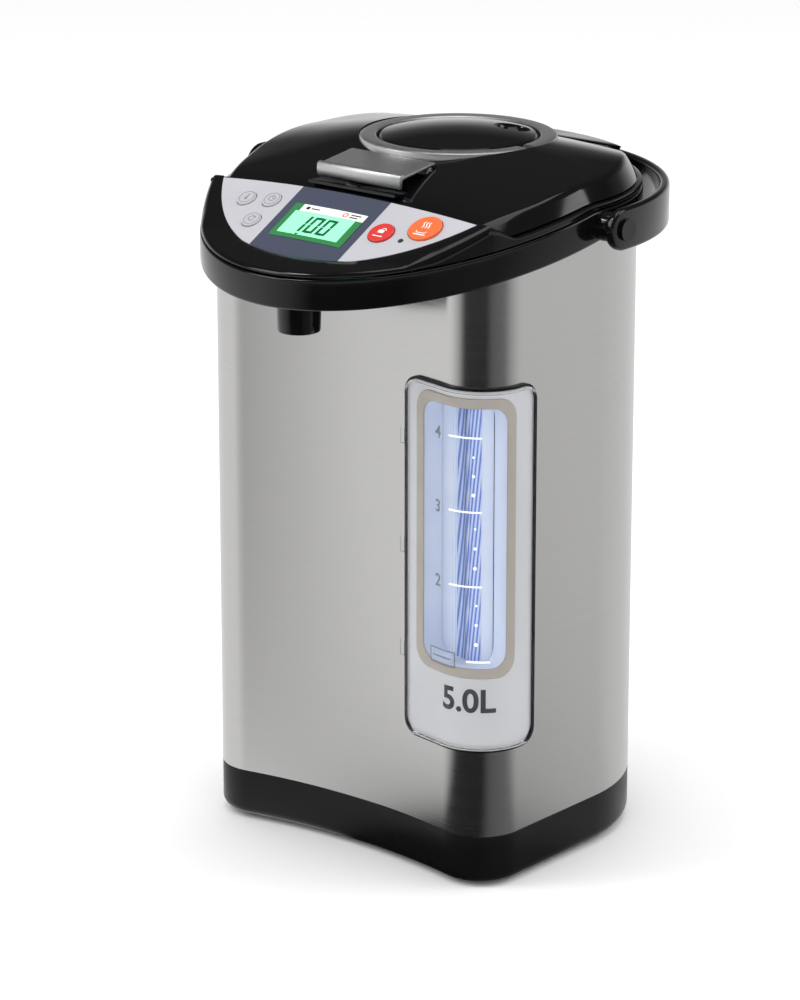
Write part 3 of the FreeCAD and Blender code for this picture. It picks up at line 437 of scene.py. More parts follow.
def self_lit(tree, shader, shade, strength):
    """Let a colour glow as well: a lit display's own light, or painted light on a plate deep behind clear
    plastic, to make up for the shade there.
    """
    tree.links.new(shade, shader.inputs["Base Color"])
    tree.links.new(shade, shader.inputs["Emission Color"])
    shader.inputs["Emission Strength"].default_value = strength


def wire(tree, *links):
    """Join sockets, each link given as a node, its output, a node and its input."""
    for source, output, target, into in links:
        tree.links.new(source.outputs[output], target.inputs[into])


FINE_GRAIN = 0.00001
COARSE_GRAIN = 0.00002


def plastic(name, colour, roughness, grain=900.0, depth=FINE_GRAIN, specular=0.5):
    """Moulded plastic: slight colour drift, uneven gloss and a fine moulded grain."""
    material, tree, shader = finish_nodes(name, colour, roughness, specular=specular)
    drift = noise(tree, 18.0)
    dark = tuple(c * 0.88 for c in colour)
    light = tuple(min(1.0, c * 1.1) for c in colour)
    paint(tree, shader, drift, dark, light)
    uneven_gloss(tree, shader, noise(tree, 60.0), roughness)
    bump(tree, shader, noise(tree, grain, 2.0), depth)
    return material


def brushed(name, colour, roughness, stretch, fine=1.0):
    """Brushed metal: long thin streaks in colour, gloss and height."""
    material, tree, shader = finish_nodes(name, colour, roughness, metallic=1.0)
    streaks = noise(tree, 1.0, 5.0, stretch)
    dark = tuple(c * (1 - 0.13 * fine) for c in colour)
    light = tuple(min(1.0, c * (1 + 0.1 * fine)) for c in colour)
    paint(tree, shader, streaks, dark, light)
    uneven_gloss(tree, shader, streaks, roughness)
    bump(tree, shader, streaks, 0.00001 * fine, 0.3)
    return material


def clear_plastic(name, roughness=0.03, ior=1.12):
    """Clear plastic; its index is low, so that the scale behind it isn't bent away."""
    material, tree, shader = finish_nodes(name, (0.97, 0.98, 0.99), roughness)
    set_inputs(shader, Transmission_Weight=1.0, IOR=ior)
    uneven_gloss(tree, shader, noise(tree, 40.0), roughness, 0.6, 1.5)
    bump(tree, shader, noise(tree, 25.0, 1.0), 0.00001, 0.2)
    return material


def glowing(name, colour, strength):
    material, tree, shader = finish_nodes(name, colour, 0.35)
    pixels = noise(tree, 900.0, 1.0)
    dark = tuple(c * 0.93 for c in colour)
    self_lit(tree, shader, tint(tree, pixels, dark, colour), strength)
    return material


# %% [markdown]
# Two blacks matter most: a polished one for the head and the lid, and a satin one
# for the base. The steel has its brush lines across, so they are stretched along
# X and Y and packed close along Z. Prints and films are thin, so they stay plain.

# %% The finishes of this pot
black_gloss = plastic("polished_black", (0.003, 0.003, 0.0035), 0.1, 300.0, depth=0.000003, specular=0.42)
black_satin = plastic("satin_black", (0.004, 0.004, 0.0045), 0.3, 700.0, specular=0.22)
black_rubber = plastic("black_rubber", (0.01, 0.01, 0.01), 0.6, depth=COARSE_GRAIN)
steel_wrap = brushed("brushed_wrap", (0.55, 0.545, 0.54), 0.22, (5.0, 5.0, 2600.0), 0.55)
steel_pot = brushed("drawn_pot", (0.62, 0.62, 0.61), 0.3, (500.0, 500.0, 20.0))
silver = brushed("satin_silver", (0.62, 0.62, 0.63), 0.4, (500.0, 500.0, 500.0), 0.3)
plain_metal = brushed("plain_metal", (0.45, 0.45, 0.45), 0.35, (300.0, 300.0, 300.0))
panel_film = plastic("panel_film", (0.45, 0.45, 0.48), 0.32, 1200.0)
band_film = plastic("band_film", (0.055, 0.065, 0.1), 0.3, 1200.0)
key_film = plastic("key_film", (0.43, 0.43, 0.46), 0.3, 1200.0)
red_key = plastic("red_key", (0.62, 0.03, 0.025), 0.3)
orange_key = plastic("orange_key", (0.83, 0.14, 0.035), 0.3)
white_print = plastic("white_print", (0.8, 0.8, 0.8), 0.4)
dark_print = plastic("dark_print", (0.02, 0.02, 0.025), 0.4)
grey_print = plastic("grey_print", (0.2, 0.2, 0.22), 0.4)
backing_film = plastic("backing_film", (0.62, 0.62, 0.63), 0.5, specular=0.2)
# The scale's white print glows a little: painted light that makes up for the shade under the clear cover.
scale_white = glowing("scale_white", (0.95, 0.95, 0.97), 0.4)
green_dark = plastic("display_rim", (0.03, 0.2, 0.06), 0.3)
green_digits = plastic("display_digits", (0.01, 0.1, 0.06), 0.3)
green_glow = glowing("display_glow", (0.24, 0.86, 0.42), 0.5)
beige = plastic("gauge_beige", (0.42, 0.38, 0.33), 0.35, 700.0, depth=COARSE_GRAIN)
clear = clear_plastic("clear_cover")
tube_glass = clear_plastic("tube_glass", 0.02, ior=1.03)
silicone = plastic("silicone", (0.6, 0.6, 0.56), 0.45, 400.0, depth=COARSE_GRAIN)
white_plastic = plastic("white_plastic", (0.7, 0.7, 0.67), 0.4, 500.0, depth=COARSE_GRAIN)
board_green = plastic("board_green", (0.02, 0.14, 0.05), 0.4, 500.0, depth=COARSE_GRAIN)
brass = brushed("plain_brass", (0.65, 0.45, 0.18), 0.3, (300.0, 300.0, 300.0))
aluminium = brushed("cast_aluminium", (0.55, 0.55, 0.56), 0.42, (150.0, 150.0, 150.0))
GLOSS = (black_gloss, "black_gloss")
SATIN = (black_satin, "black_satin")
SHINY = (silver, "silver")
WHITE_MARK = (white_print, "gauge_white")
GREY_MARK = (grey_print, "panel_grey")
print("finishes:", len(bpy.data.materials))

# %% [markdown]
# Each solid carries a slot name in the record, such as silicone or brass. One
# table turns a slot into a finish, so that every solid is dressed by a loop.

# %% Give every solid its finish by its record slot
SLOT_FINISH = {
    "black_gloss": black_gloss, "black_satin": black_satin, "steel_wrap": steel_wrap,
    "steel_pot": steel_pot, "silver": silver, "panel_grey": panel_film, "band_blue": band_film,
    "display": green_glow, "button_red": red_key, "button_orange": orange_key,
    "button_grey": key_film, "clear": clear, "gauge_beige": beige, "gauge_white": white_print,
    "rubber": black_rubber, "silicone": silicone, "white_plastic": white_plastic,
    "plain_metal": plain_metal, "aluminium": aluminium, "brass": brass, "board_green": board_green,
}
for part in frame["record"]["subparts"]:
    solid = frame["nodes"][part["node"]]
    for slot in solid.material_slots:
        slot.material = SLOT_FINISH[part["material_slot"]]
for slot in frame["nodes"]["gauge_tube"].material_slots:
    slot.material = tube_glass

# %% [markdown]
# The steel wrap is one sheet bent round the body. It is built as a grid up the
# outline, so that its corners shade smoothly, and the faces behind the water
# gauge are left out, where the real sheet is cut.

# %% Steel wrap
HOLE_ROW = 5
INLET_ROW = 2
INLET_HOLE = (15.0, 36.0, 56.0)
GAUGE_HOLE = (47.2, -45.2, 111.2, 250.8)
STRAIGHT_TOP = 300.0
WRAP_WALL = 1.0


def steel_wrap_piece():
    places = path_places()
    hole_start = u_front(GAUGE_HOLE[0])
    hole_end = u_side(GAUGE_HOLE[1])
    edge = 0.4
    low, high = GAUGE_HOLE[2], GAUGE_HOLE[3]
    heights = [BASE_TOP, BASE_TOP + edge, INLET_HOLE[1], INLET_HOLE[2]]
    heights += [low - edge, low, high, high + edge, STRAIGHT_TOP]
    verts = []
    for height in heights:
        verts += [(*outline_at(u), height) for u in places]
    for under in (3.0 - edge, 3.0):
        for u in places:
            x, y = outline_at(u)
            verts.append((x, y, collar_low(y) + under))
    faces = []
    count = len(places)
    for face in grid_faces(len(heights) + 2, count, closed=True):
        row, column = divmod(face[0], count)
        middle = places[column] + HALF_LENGTH / count
        if row == HOLE_ROW and hole_start < middle < hole_end:
            continue
        x, y = outline_at(middle)
        if row == INLET_ROW and y > REAR_Y and abs(x) < INLET_HOLE[0]:
            continue
        faces.append(face)
    wrap = finish_piece("steel_wrap", verts, faces, "pot", steel_wrap, "steel_wrap",
                        ["outer_shell"], 30, mend=False)
    wall = wrap.modifiers.new("wall", "SOLIDIFY")
    wall.thickness = WRAP_WALL * MM
    wall.offset = -1
    return wrap


steel = steel_wrap_piece()
tell(steel)

# %% [markdown]
# The base is a satin moulding with a soft lower edge. A quarter of a circle,
# walked in six steps, gives the edge, and the same outline shrinks with it.

# %% Base moulding


def base_piece():
    fillet = 5.5
    rings = []
    places = path_places()

    def ring(offset, height):
        rings.append([(*outline_at(u, offset), height) for u in places])

    ring(-9.0, BASE_LOW + 0.6)
    for k in range(7):
        angle = math.pi / 2 * k / 6
        ring(-fillet * (1 - math.sin(angle)), BASE_LOW + fillet * (1 - math.cos(angle)))
    ring(0.0, BASE_TOP - 0.7)
    ring(-0.15, BASE_TOP - 0.2)
    ring(-0.6, BASE_TOP)
    ring(-3.2, BASE_TOP)
    ring(-3.2, BASE_LOW + 3.0)
    return finish_piece("base_moulding", *loft(rings, caps=False), "pot", *SATIN, ["base_cover"], 40)


base = base_piece()
tell(base)

# %% [markdown]
# The collar is the black ring under the seam. For each direction from the head's
# centre a closed profile runs from the steel out to the oval, up its face and
# back, with small rounds where light catches the edges.

# %% Collar
HEAD_STEPS = 240


def body_edge(angle):
    def inside(x, y):
        if y > REAR_Y:
            side = max(abs(x) - REAR_X, 0)
            return side ** 2 + (y - REAR_Y) ** 2 <= REAR_CORNER_R ** 2 and abs(x) <= BODY_HALF_WIDTH
        if y < CORNER_Y and abs(x) > CORNER_X:
            return (abs(x) - CORNER_X) ** 2 + (y - CORNER_Y) ** 2 <= FRONT_CORNER_R ** 2
        lean = math.atan2(CORNER_X, CORNER_Y - SCOOP_CENTRE_Y)
        if abs(x) < SCOOP_R * math.sin(lean):
            return math.hypot(x, y - SCOOP_CENTRE_Y) >= SCOOP_R
        if y < CORNER_Y:
            return math.hypot(abs(x) - CORNER_X, y - CORNER_Y) <= FRONT_CORNER_R
        return abs(x) <= BODY_HALF_WIDTH
    return reach_to((0, HEAD_Y), angle, inside)


def around(angle, reach):
    return reach * math.cos(angle), HEAD_Y + reach * math.sin(angle)


def column_at(angle, profile):
    """A profile of (reach, height) points, stood up in one direction from the head's centre."""
    return [(*around(angle, reach), height) for reach, height in profile]


def collar_piece():
    columns = []
    for k in range(HEAD_STEPS):
        angle = 2 * math.pi * k / HEAD_STEPS
        edge = head_edge(angle)
        steel_edge = min(body_edge(angle) + 0.2, edge - 1.5)
        x, y = around(angle, edge)
        low = collar_low(y)
        high = seam(y) - 0.4
        columns.append(column_at(angle, (
            (steel_edge, low + 0.1), (edge - 1.4, low), (edge - 0.6, low + 0.2), (edge - 0.15, low + 0.7),
            (edge, low + 1.5), (edge + 0.1, (low + high) / 2), (edge, high - 1.3), (edge - 0.15, high - 0.6),
            (edge - 0.6, high - 0.15), (edge - 1.4, high), (edge - 2.5, high), (edge - 2.5, low + 3.0),
            (min(steel_edge, edge - 2.6), low + 3.0),
        )))
    verts = [p for column in columns for p in column]
    faces = []
    count = len(columns[0])
    for k in range(HEAD_STEPS):
        a = k * count
        b = (k + 1) % HEAD_STEPS * count
        for j in range(count):
            n = (j + 1) % count
            faces.append((a + j, b + j, b + n, a + n))
    return finish_piece("collar", verts, faces, "pot", *GLOSS, sharp=40)


collar = collar_piece()
tell(collar)

# %% [markdown]
# The handle turns on two round bosses. Each is lathed about Z, as a turner would
# make it, and then laid along X, so its round edge catches the light evenly.

# %% Pivot bosses on the collar
PIVOT_Z = 327.5
BOSS_X = 102.4


def turned_sideways(rings, x, y, z, side):
    """Lay turned rings along X, pointing out to one side."""
    return [[(x + side * p[2], y + p[1] * side, z + p[0]) for p in ring] for ring in rings]


def bosses():
    pieces = []
    profile = [(7.3, 0.0), (7.3, 9.4), (7.1, 10.0), (6.6, 10.2), (0.5, 10.2)]
    for side, name in ((1, "boss_right"), (-1, "boss_left")):
        rings = turned_sideways(lathe(profile, 48), side * BOSS_X, HEAD_Y, PIVOT_Z, side)
        pieces.append(finish_piece(name, *loft(rings), "pot", *GLOSS))
    return pieces


boss_pieces = bosses()
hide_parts("collar_ring")
tell(*boss_pieces)

# %% [markdown]
# Above the seam sits the bezel. Its front is a sloping surface that carries the
# control panel and ends in a rounded lip. It is a fan of rings: one ring lies
# exactly on the panel's edge and the last ones turn down over the oval.

# %% Bezel front
PANEL_HALF_WIDTH = 101.0
PANEL_FRONT_REACH = 113.0
FAN_CENTRE = (0.0, PANEL_BACK + 1.2)


def in_panel(x, y):
    return (x / PANEL_HALF_WIDTH) ** 2 + ((y - HEAD_Y) / PANEL_FRONT_REACH) ** 2 <= 1


def bezel_front():
    steps = 120
    rings = []
    edges = []
    for k in range(steps + 1):
        angle = math.pi + math.pi * k / steps
        inner = reach_to(FAN_CENTRE, angle, in_panel)
        edges.append((angle, inner, reach_to(FAN_CENTRE, angle, in_head(0.5))))

    def at(angle, reach):
        return FAN_CENTRE[0] + reach * math.cos(angle), FAN_CENTRE[1] + reach * math.sin(angle)

    def top(x, y):
        return max(panel(x, y), seam(y) + 2.4)

    def row(reach, height):
        """One ring, out to reach(inner, outer) in each direction, at height(x, y) there."""
        ring = []
        for angle, inner, outer in edges:
            x, y = at(angle, reach(inner, outer))
            ring.append((x, y, height(x, y)))
        rings.append(ring)

    for share in (0.02, 0.3, 0.6, 0.85, 1.0):
        row(lambda inner, outer: inner * share, lambda x, y: panel(x, y) - 0.5)
    for lift, out in ((0.0, 0.25), (0.1, 0.6)):
        row(lambda inner, outer: min(inner + out, outer - 0.2), lambda x, y: top(x, y) + lift - 0.15)
    for share in (0.35, 0.6):
        row(lambda inner, outer: inner + (outer - inner) * share, top)
    for k in range(8):
        turn = math.pi / 2 * k / 7
        ring = []
        for angle, inner, outer in edges:
            rim = at(angle, outer)
            tall = max(top(*rim) - seam(rim[1]), 1.6)
            radius = min(4.5, tall * 0.8, (outer - inner) * 0.38)
            x, y = at(angle, outer - radius * (1 - math.sin(turn)))
            fall = radius * (1 - math.cos(turn))
            ease = (top(x, y) - top(*rim)) * (1 - k / 7)
            ring.append((x, y, top(*rim) - fall + ease))
        rings.append(ring)
    for inset, lift in ((0.0, 0.5), (0.35, 0.1), (1.0, 0.0), (2.6, 0.0)):
        row(lambda inner, outer: outer - inset, lambda x, y: seam(y) + lift)
    verts = [p for ring in rings for p in ring]
    faces = grid_faces(len(rings), steps + 1)
    starts = [r * (steps + 1) for r in range(len(rings))]
    faces.append(tuple(starts + [first + steps for first in reversed(starts)]))
    faces.append(tuple(reversed(range(steps + 1))))
    return finish_piece("bezel_front", verts, faces, "pot", *GLOSS, sharp=38)


front_bezel = bezel_front()
tell(front_bezel)

# %% [markdown]
# Beside and behind the lid the bezel is only a narrow ledge. Its lip stands up to
# the panel at the front and sinks to the lid's gap, so a share that falls smoothly
# from 1 to 0 joins the two without a step.

# %% Bezel rim beside and behind the lid
LIP_END_Y = -44.0
MOUTH_Y = 24.5
MOUTH_R = 72.0
RIM_START_REACH = 117.0


def ramp_between(value, start, stop):
    """0 at start and 1 at stop, with a smooth ease at each end."""
    share = min(max((value - start) / (stop - start), 0.0), 1.0)
    return share * share * (3 - 2 * share)


def in_mouth(x, y):
    return x ** 2 + (y - MOUTH_Y) ** 2 <= MOUTH_R ** 2


def bezel_rim():
    """The narrow ledge under the lid's gap, from the panel's back round the rear."""
    columns = []
    start = math.asin((PANEL_BACK + 1.0 - HEAD_Y) / RIM_START_REACH)
    steps = 200
    for k in range(steps + 1):
        angle = start - 0.05 + (math.pi - 2 * (start - 0.05)) * k / steps
        edge = head_edge(angle, 0.5)
        x, y = around(angle, edge)
        low = seam(y)
        high = lid_gap(y)
        share = ramp_between(y, LIP_END_Y, PANEL_BACK)
        lip = high + share * (panel(x, PANEL_BACK) - 0.4 - lid_gap(PANEL_BACK))
        mouth = min(reach_to((0, HEAD_Y), angle, in_mouth), edge - 3)
        columns.append(column_at(angle, (
            (mouth, low), (edge - 1.0, low), (edge - 0.3, low + 0.15), (edge, low + 0.6),
            (edge, lip - 0.9), (edge - 0.25, lip - 0.25), (edge - 0.9, lip), (edge - 2.0, lip - 0.05),
            (edge - 2.2, high), (mouth, high),
        )))
    return finish_piece("bezel_rim", *loft(columns), "pot", *GLOSS, sharp=38)


rim = bezel_rim()
tell(rim)

# %% [markdown]
# The lid turns on a pin behind it. A low cover on the bezel hides the hinge, with a
# round channel cut along it for the knuckles. Bevel gives its edges their round,
# because every moulded edge has one and a sharp edge never catches light.

# %% Hinge cover behind the lid
HINGE_Y = 90.5
HINGE_Z = 341.5
HINGE_HALF = 51.0
CHANNEL_R = 6.2
CHANNEL_HALF = 62.0
HINGE_COVER_LEVELS = (338.2, 344.6)


def rounded(name, verts, faces, body, material, slot, stands_for=(), width=1.2, segments=3, cut=None):
    """A solid with rounded edges, cut first where a neighbour needs room."""
    draft = draft_piece(name, verts, faces)
    if cut:
        add_cut(draft, cut)
    soft = draft.modifiers.new("round", "BEVEL")
    soft.width = width * MM
    soft.segments = segments
    soft.limit_method = "ANGLE"
    soft.angle_limit = math.radians(40)
    return settle(draft, name, body, material, slot, stands_for)


def add_cut(draft, tool):
    cutter = draft.modifiers.new("cut", "BOOLEAN")
    cutter.operation = "DIFFERENCE"
    cutter.solver = "EXACT"
    cutter.object = tool


def settle(draft, name, body, material, slot, stands_for=(), sharp=35):
    """Turn a piece with live modifiers into a plain mesh and dress it."""
    mesh = evaluated(draft, name, material)
    mesh.shade_smooth()
    mesh.set_sharp_from_angle(angle=math.radians(sharp))
    piece = linked(name, mesh)
    dress(piece, body, slot, stands_for)
    return piece


def hinge_cover():
    outline = []
    for k in range(25):
        x = HINGE_HALF - 2 * HINGE_HALF * k / 24
        depth = (HEAD_REAR_REACH - 0.6) * math.sqrt(1 - (x / (HEAD_HALF_WIDTH - 0.6)) ** 2)
        outline.append((x, HEAD_Y + depth))
    outline += [(-HINGE_HALF, LID_REAR + 1.5), (HINGE_HALF, LID_REAR + 1.5)]
    rings = [[(x, y, z) for x, y in outline] for z in HINGE_COVER_LEVELS]
    verts, faces = loft(rings)
    channel = lathe([(CHANNEL_R, 0.0), (CHANNEL_R, 2 * CHANNEL_HALF)], 64)
    turned = turned_sideways(channel, -CHANNEL_HALF, HINGE_Y, HINGE_Z, 1)
    tool = draft_piece("tool", *loft(turned))
    cover = rounded("hinge_cover", verts, faces, "pot", *GLOSS, (), 1.0, 3, tool)
    bpy.data.objects.remove(tool)
    return cover


def sleeve(name, x0, x1, place, sizes, body, look, steps=40):
    """A short tube along X with chamfered ends; sizes are its bore, end, outside and chamfer."""
    bore, end, outside, chamfer = sizes
    long = x1 - x0
    profile = [(bore, 0), (end, 0), (outside, chamfer), (outside, long - chamfer), (end, long), (bore, long)]
    rings = turned_sideways(lathe(profile, steps), x0, *place, 1)
    return finish_piece(name, *loft(rings), body, *look)


LUG_SPANS = ((-46.0, -34.4), (-19.6, 19.6), (34.4, 46.0))
LUG_SIZES = (0.4, 2.9, 3.4, 0.4)


def hinge_lugs():
    pieces = []
    for number, (x0, x1) in enumerate(LUG_SPANS):
        name = "hinge_lug_%d" % number
        pieces.append(sleeve(name, x0, x1, (HINGE_Y, HINGE_Z), LUG_SIZES, "pot", GLOSS))
        size = (x0 + 0.3, x1 - 0.3, HINGE_Y, HINGE_Y + 8.0, HINGE_Z - 3.4, HINGE_Z - 0.2)
        pieces.append(rounded(name + "_web", *box_mesh(*size), "pot", *GLOSS, (), 0.4, 2))
    return pieces


cover = hinge_cover()
lugs = hinge_lugs()
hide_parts("head_bezel")
tell(cover, *lugs)

# %% [markdown]
# The lid is the largest glossy surface, so its form decides the reflections. It
# is a fan of rings round the vent: dome, then a tight shoulder, then a side that
# slopes out to the gap. The pocket for the silver ring is part of the fan.

# %% Lid
RING_Y = 27.0
RING_OUTER_R = 49.5
RING_INNER_R = 40.6
RING_TOP = 356.0
RING_FLOOR = 349.0
LEVER_REAR = -23.4
LEVER_HALF_WIDTH = 26.5
LID_WALL = 1.6
SHOULDER_DROP = 4.5
SOFT_FRONT = (-62.0, -20.0)
SOFT_REAR = (70.0, 25.0)
SOFT_SIDE = (35.0, 105.0)
SHOULDER_INSET = 6.0
DOME_INSET = 8.5


def lid_top(x, y):
    """The dome, softened a little above the panel's two ends."""
    along = ramp_between(y, *SOFT_FRONT) * ramp_between(y, *SOFT_REAR)
    return dome(x, y) - SHOULDER_DROP * ramp_between(abs(x), *SOFT_SIDE) * along


def in_lid(inset):
    head = in_head(3.0 + inset)

    def inside(x, y):
        return head(x, y) and LID_FRONT + inset * 0.3 <= y <= LID_REAR - inset * 0.3
    return inside


def lid_piece():
    steps = 360
    centre = (0.0, RING_Y)
    angles = [2 * math.pi * k / steps for k in range(steps)]
    edge = [reach_to(centre, a, in_lid(0.0)) for a in angles]
    shoulder = [reach_to(centre, a, in_lid(SHOULDER_INSET)) for a in angles]
    inner = [reach_to(centre, a, in_lid(DOME_INSET)) for a in angles]

    def at(k, reach):
        return centre[0] + reach * math.cos(angles[k]), centre[1] + reach * math.sin(angles[k])

    def row(reaches, height):
        ring = []
        for k in range(steps):
            x, y = at(k, reaches[k])
            ring.append((x, y, height(x, y)))
        return ring

    pocket = RING_OUTER_R + 0.1
    rings = [
        row([RING_INNER_R - 2.0] * steps, lambda x, y: RING_FLOOR - 0.3),
        row([pocket] * steps, lambda x, y: RING_FLOOR - 0.3),
        row([pocket] * steps, lambda x, y: lid_top(x, y) - 0.4),
        row([pocket + 0.5] * steps, lambda x, y: lid_top(x, y)),
    ]
    for share in (0.25, 0.5, 0.75, 1.0):
        reaches = [pocket + 0.5 + (inner[k] - pocket - 0.5) * share for k in range(steps)]
        rings.append(row(reaches, lid_top))
    blend = [(s + i) / 2 for s, i in zip(shoulder, inner)]
    rings.append(row(blend, lambda x, y: lid_top(x, y) - 0.12))
    rings.append(row(shoulder, lambda x, y: lid_top(x, y) - 0.75))
    side = [s + (e - s) * 0.22 for s, e in zip(shoulder, edge)]

    def side_row(share, reaches):
        ring = []
        for k in range(steps):
            x, y = at(k, reaches[k])
            sx, sy = at(k, shoulder[k])
            ex, ey = at(k, edge[k])
            top = lid_top(sx, sy) - 0.75
            foot = lid_gap(ey) + 0.6
            ring.append((x, y, top + (foot - top) * share))
        return ring

    rings.append(side_row(0.2, side))
    rings.append(side_row(0.9, [s + (e - s) * 0.93 for s, e in zip(shoulder, edge)]))
    rings.append(side_row(0.97, edge))
    rings.append(side_row(1.0, [e - 0.6 for e in edge]))
    rings.append(side_row(1.0, [e - 2.6 for e in edge]))
    draft = draft_piece("lid", *loft(rings, caps=False))
    wall = draft.modifiers.new("wall", "SOLIDIFY")
    wall.thickness = LID_WALL * MM
    wall.offset = -1
    tool = draft_piece("tool", *lever_hollow())
    add_cut(draft, tool)
    piece = settle(draft, "lid", "lid", *GLOSS, ["lid_cover"], 32)
    bpy.data.objects.remove(tool)
    return piece


def lever_hollow():
    half = LEVER_HALF_WIDTH + 0.5
    profile = [(-58.0, 343.6), (-58.0, 380.0), (LEVER_REAR + 0.5, 380.0), (LEVER_REAR + 0.5, 348.6),
               (-38.0, 344.6), (-49.0, 343.0)]
    rings = [[(x, y, z) for y, z in profile] for x in (-half, half)]
    return loft(rings)


lid = lid_piece()
tell(lid)

# %% [markdown]
# The lever lies in a hollow in front of the ring. The cut through the lid's shell
# needs a floor under it, or the picture would look into the lid.

# %% Floor of the lever's hollow
FLOOR_PROFILE = [(-55.4, 342.6), (-49.0, 342.0), (-38.0, 343.8), (LEVER_REAR + 0.4, 347.8)]


def lever_floor():
    rings = []
    for x in (-LEVER_HALF_WIDTH - 1.0, LEVER_HALF_WIDTH + 1.0):
        low = [(x, y, z - 1.4) for y, z in reversed(FLOOR_PROFILE)]
        rings.append([(x, y, z) for y, z in FLOOR_PROFILE] + low)
    return finish_piece("lever_hollow", *loft(rings), "lid", *GLOSS, sharp=30)


hollow = lever_floor()
tell(hollow)

# %% [markdown]
# Two knuckles reach back from the lid round its pin. They ride on the lid's body,
# so they swing with it between the lugs, which stay with the pot.

# %% Knuckles that carry the lid on its pin
KNUCKLE_SPANS = ((-34.0, -20.0), (20.0, 34.0))
KNUCKLE_SIZES = (2.0, 2.9, 3.4, 0.4)


def knuckles():
    pieces = []
    for number, (x0, x1) in enumerate(KNUCKLE_SPANS):
        name = "lid_knuckle_%d" % number
        pieces.append(sleeve(name, x0, x1, (HINGE_Y, HINGE_Z), KNUCKLE_SIZES, "lid", GLOSS))
        size = (x0, x1, LID_REAR - 3.0, HINGE_Y - 1.0, HINGE_Z - 1.9, HINGE_Z + 2.4)
        pieces.append(rounded(name + "_arm", *box_mesh(*size), "lid", *GLOSS, (), 0.5, 2))
    return pieces


knuckle_pieces = knuckles()
tell(*knuckle_pieces)

# %% [markdown]
# The silver ring is turned like a part on a lathe and stops short at the gap
# where the vent cap is gripped. Its outer edge is bevelled, and that bevel is the
# bright line seen from the front.

# %% Silver ring and vent cap
RING_TURN = 352.5
CAP_RISE = 4.6
BOWL_ANGLE = 51.0
BOWL_SHARE = 0.7


def silver_ring():
    profile = [(RING_INNER_R + 0.5, RING_FLOOR), (RING_OUTER_R, RING_FLOOR), (RING_OUTER_R, RING_TOP - 1.3),
               (RING_OUTER_R - 0.3, RING_TOP - 0.6), (RING_OUTER_R - 1.2, RING_TOP - 0.05),
               (RING_OUTER_R - 1.9, RING_TOP + 0.15), (RING_INNER_R + 1.2, RING_TOP - 0.1),
               (RING_INNER_R + 0.5, RING_TOP - 0.6)]
    stop = math.radians(RING_TURN)
    steps = 140
    sections = []
    for k in range(steps + 1):
        angle = stop * k / steps
        sections.append([(r * math.cos(angle), RING_Y + r * math.sin(angle), z) for r, z in profile])
    return finish_piece("silver_ring", *loft(sections), "lid", *SHINY, ["lid_trim_ring"], 25)


def vent_cap():
    radius = RING_INNER_R - 0.5
    ball = (radius ** 2 + CAP_RISE ** 2) / (2 * CAP_RISE)
    profile = [(0.01, RING_FLOOR + 3.4), (radius - 1.0, RING_FLOOR + 3.4), (radius, RING_FLOOR + 4.2),
               (radius, RING_TOP - 1.6), (radius - 0.5, RING_TOP - 0.9)]
    for share in (0.965, 0.88, 0.78, 0.65, 0.5, 0.35, 0.2, 0.1, 0.01):
        reach = radius * share
        profile.append((reach, RING_TOP - 0.4 + CAP_RISE - (ball - math.sqrt(ball ** 2 - reach ** 2))))
    rings = [[(x, y + RING_Y, z) for x, y, z in ring] for ring in lathe(profile, 128)]
    draft = draft_piece("cap", *loft(rings))
    angle = math.radians(BOWL_ANGLE)
    x = BOWL_SHARE * radius * math.cos(angle)
    y = RING_Y + BOWL_SHARE * radius * math.sin(angle)
    bowl = [(0.02, 354.0), (6.4, 354.4), (8.4, 355.8), (9.4, 357.6), (10.6, 364.0), (0.02, 364.0)]
    rings = [[(px + x, py + y, pz) for px, py, pz in ring] for ring in lathe(bowl, 48)]
    tool = draft_piece("tool", *loft(rings))
    add_cut(draft, tool)
    piece = settle(draft, "vent_cap_top", "vent_cap", *GLOSS, ["vent_cap"], 30)
    bpy.data.objects.remove(tool)
    return piece


ring = silver_ring()
cap = vent_cap()
tell(ring, cap)

# %% [markdown]
# The latch lever is a bent plate: a broad flat back and a rolled lip that the
# fingers lift. A closed profile is drawn from the side and pushed across.

# %% Latch lever
LEVER_PIN = (-26.4, 348.4)
EYE_STARTS = (-26.0, 18.5)
EYE_LONG = 7.5
EYE_SIZES = (1.25, 2.2, 2.5, 0.3)


def lever():
    profile = [(-48.6, 343.6), (-49.6, 343.8), (-50.2, 345.0), (-50.5, 347.5), (-50.3, 349.6), (-49.4, 350.8),
               (-48.0, 351.1), (-46.6, 350.6), (-45.6, 350.3), (LEVER_REAR - 0.5, 353.2), (LEVER_REAR, 352.8),
               (LEVER_REAR, 351.8), (-46.0, 348.8), (-48.0, 348.2), (-48.3, 346.0)]
    half = LEVER_HALF_WIDTH
    rings = [[(x, y, z) for y, z in profile] for x in (-half, half)]
    return rounded("lever_plate", *loft(rings), "latch_lever", *SHINY, ["latch_lever"], 0.35, 2)


def lever_eyes():
    pieces = []
    for number, x0 in enumerate(EYE_STARTS):
        name = "lever_eye_%d" % number
        pieces.append(sleeve(name, x0, x0 + EYE_LONG, LEVER_PIN, EYE_SIZES, "latch_lever", SHINY, 32))
    return pieces


lever_piece = lever()
eyes = lever_eyes()
tell(lever_piece, *eyes)

# %% [markdown]
# The handle is one closed sweep: a rounded bar that follows half an ellipse round
# the rear, with a rounded pad at each pivot. Each section is a rounded rectangle,
# and the sections shrink to nothing over the last stretch of each pad.

# %% Handle
HANDLE_X = 118.0
HANDLE_Y = 112.0
HANDLE_THICK = 5.0
HANDLE_HALF_TALL = 10.5
HANDLE_EDGE_R = 1.9
PAD_SHARES = (0.999, 0.97, 0.9, 0.8, 0.65, 0.45, 0.2)


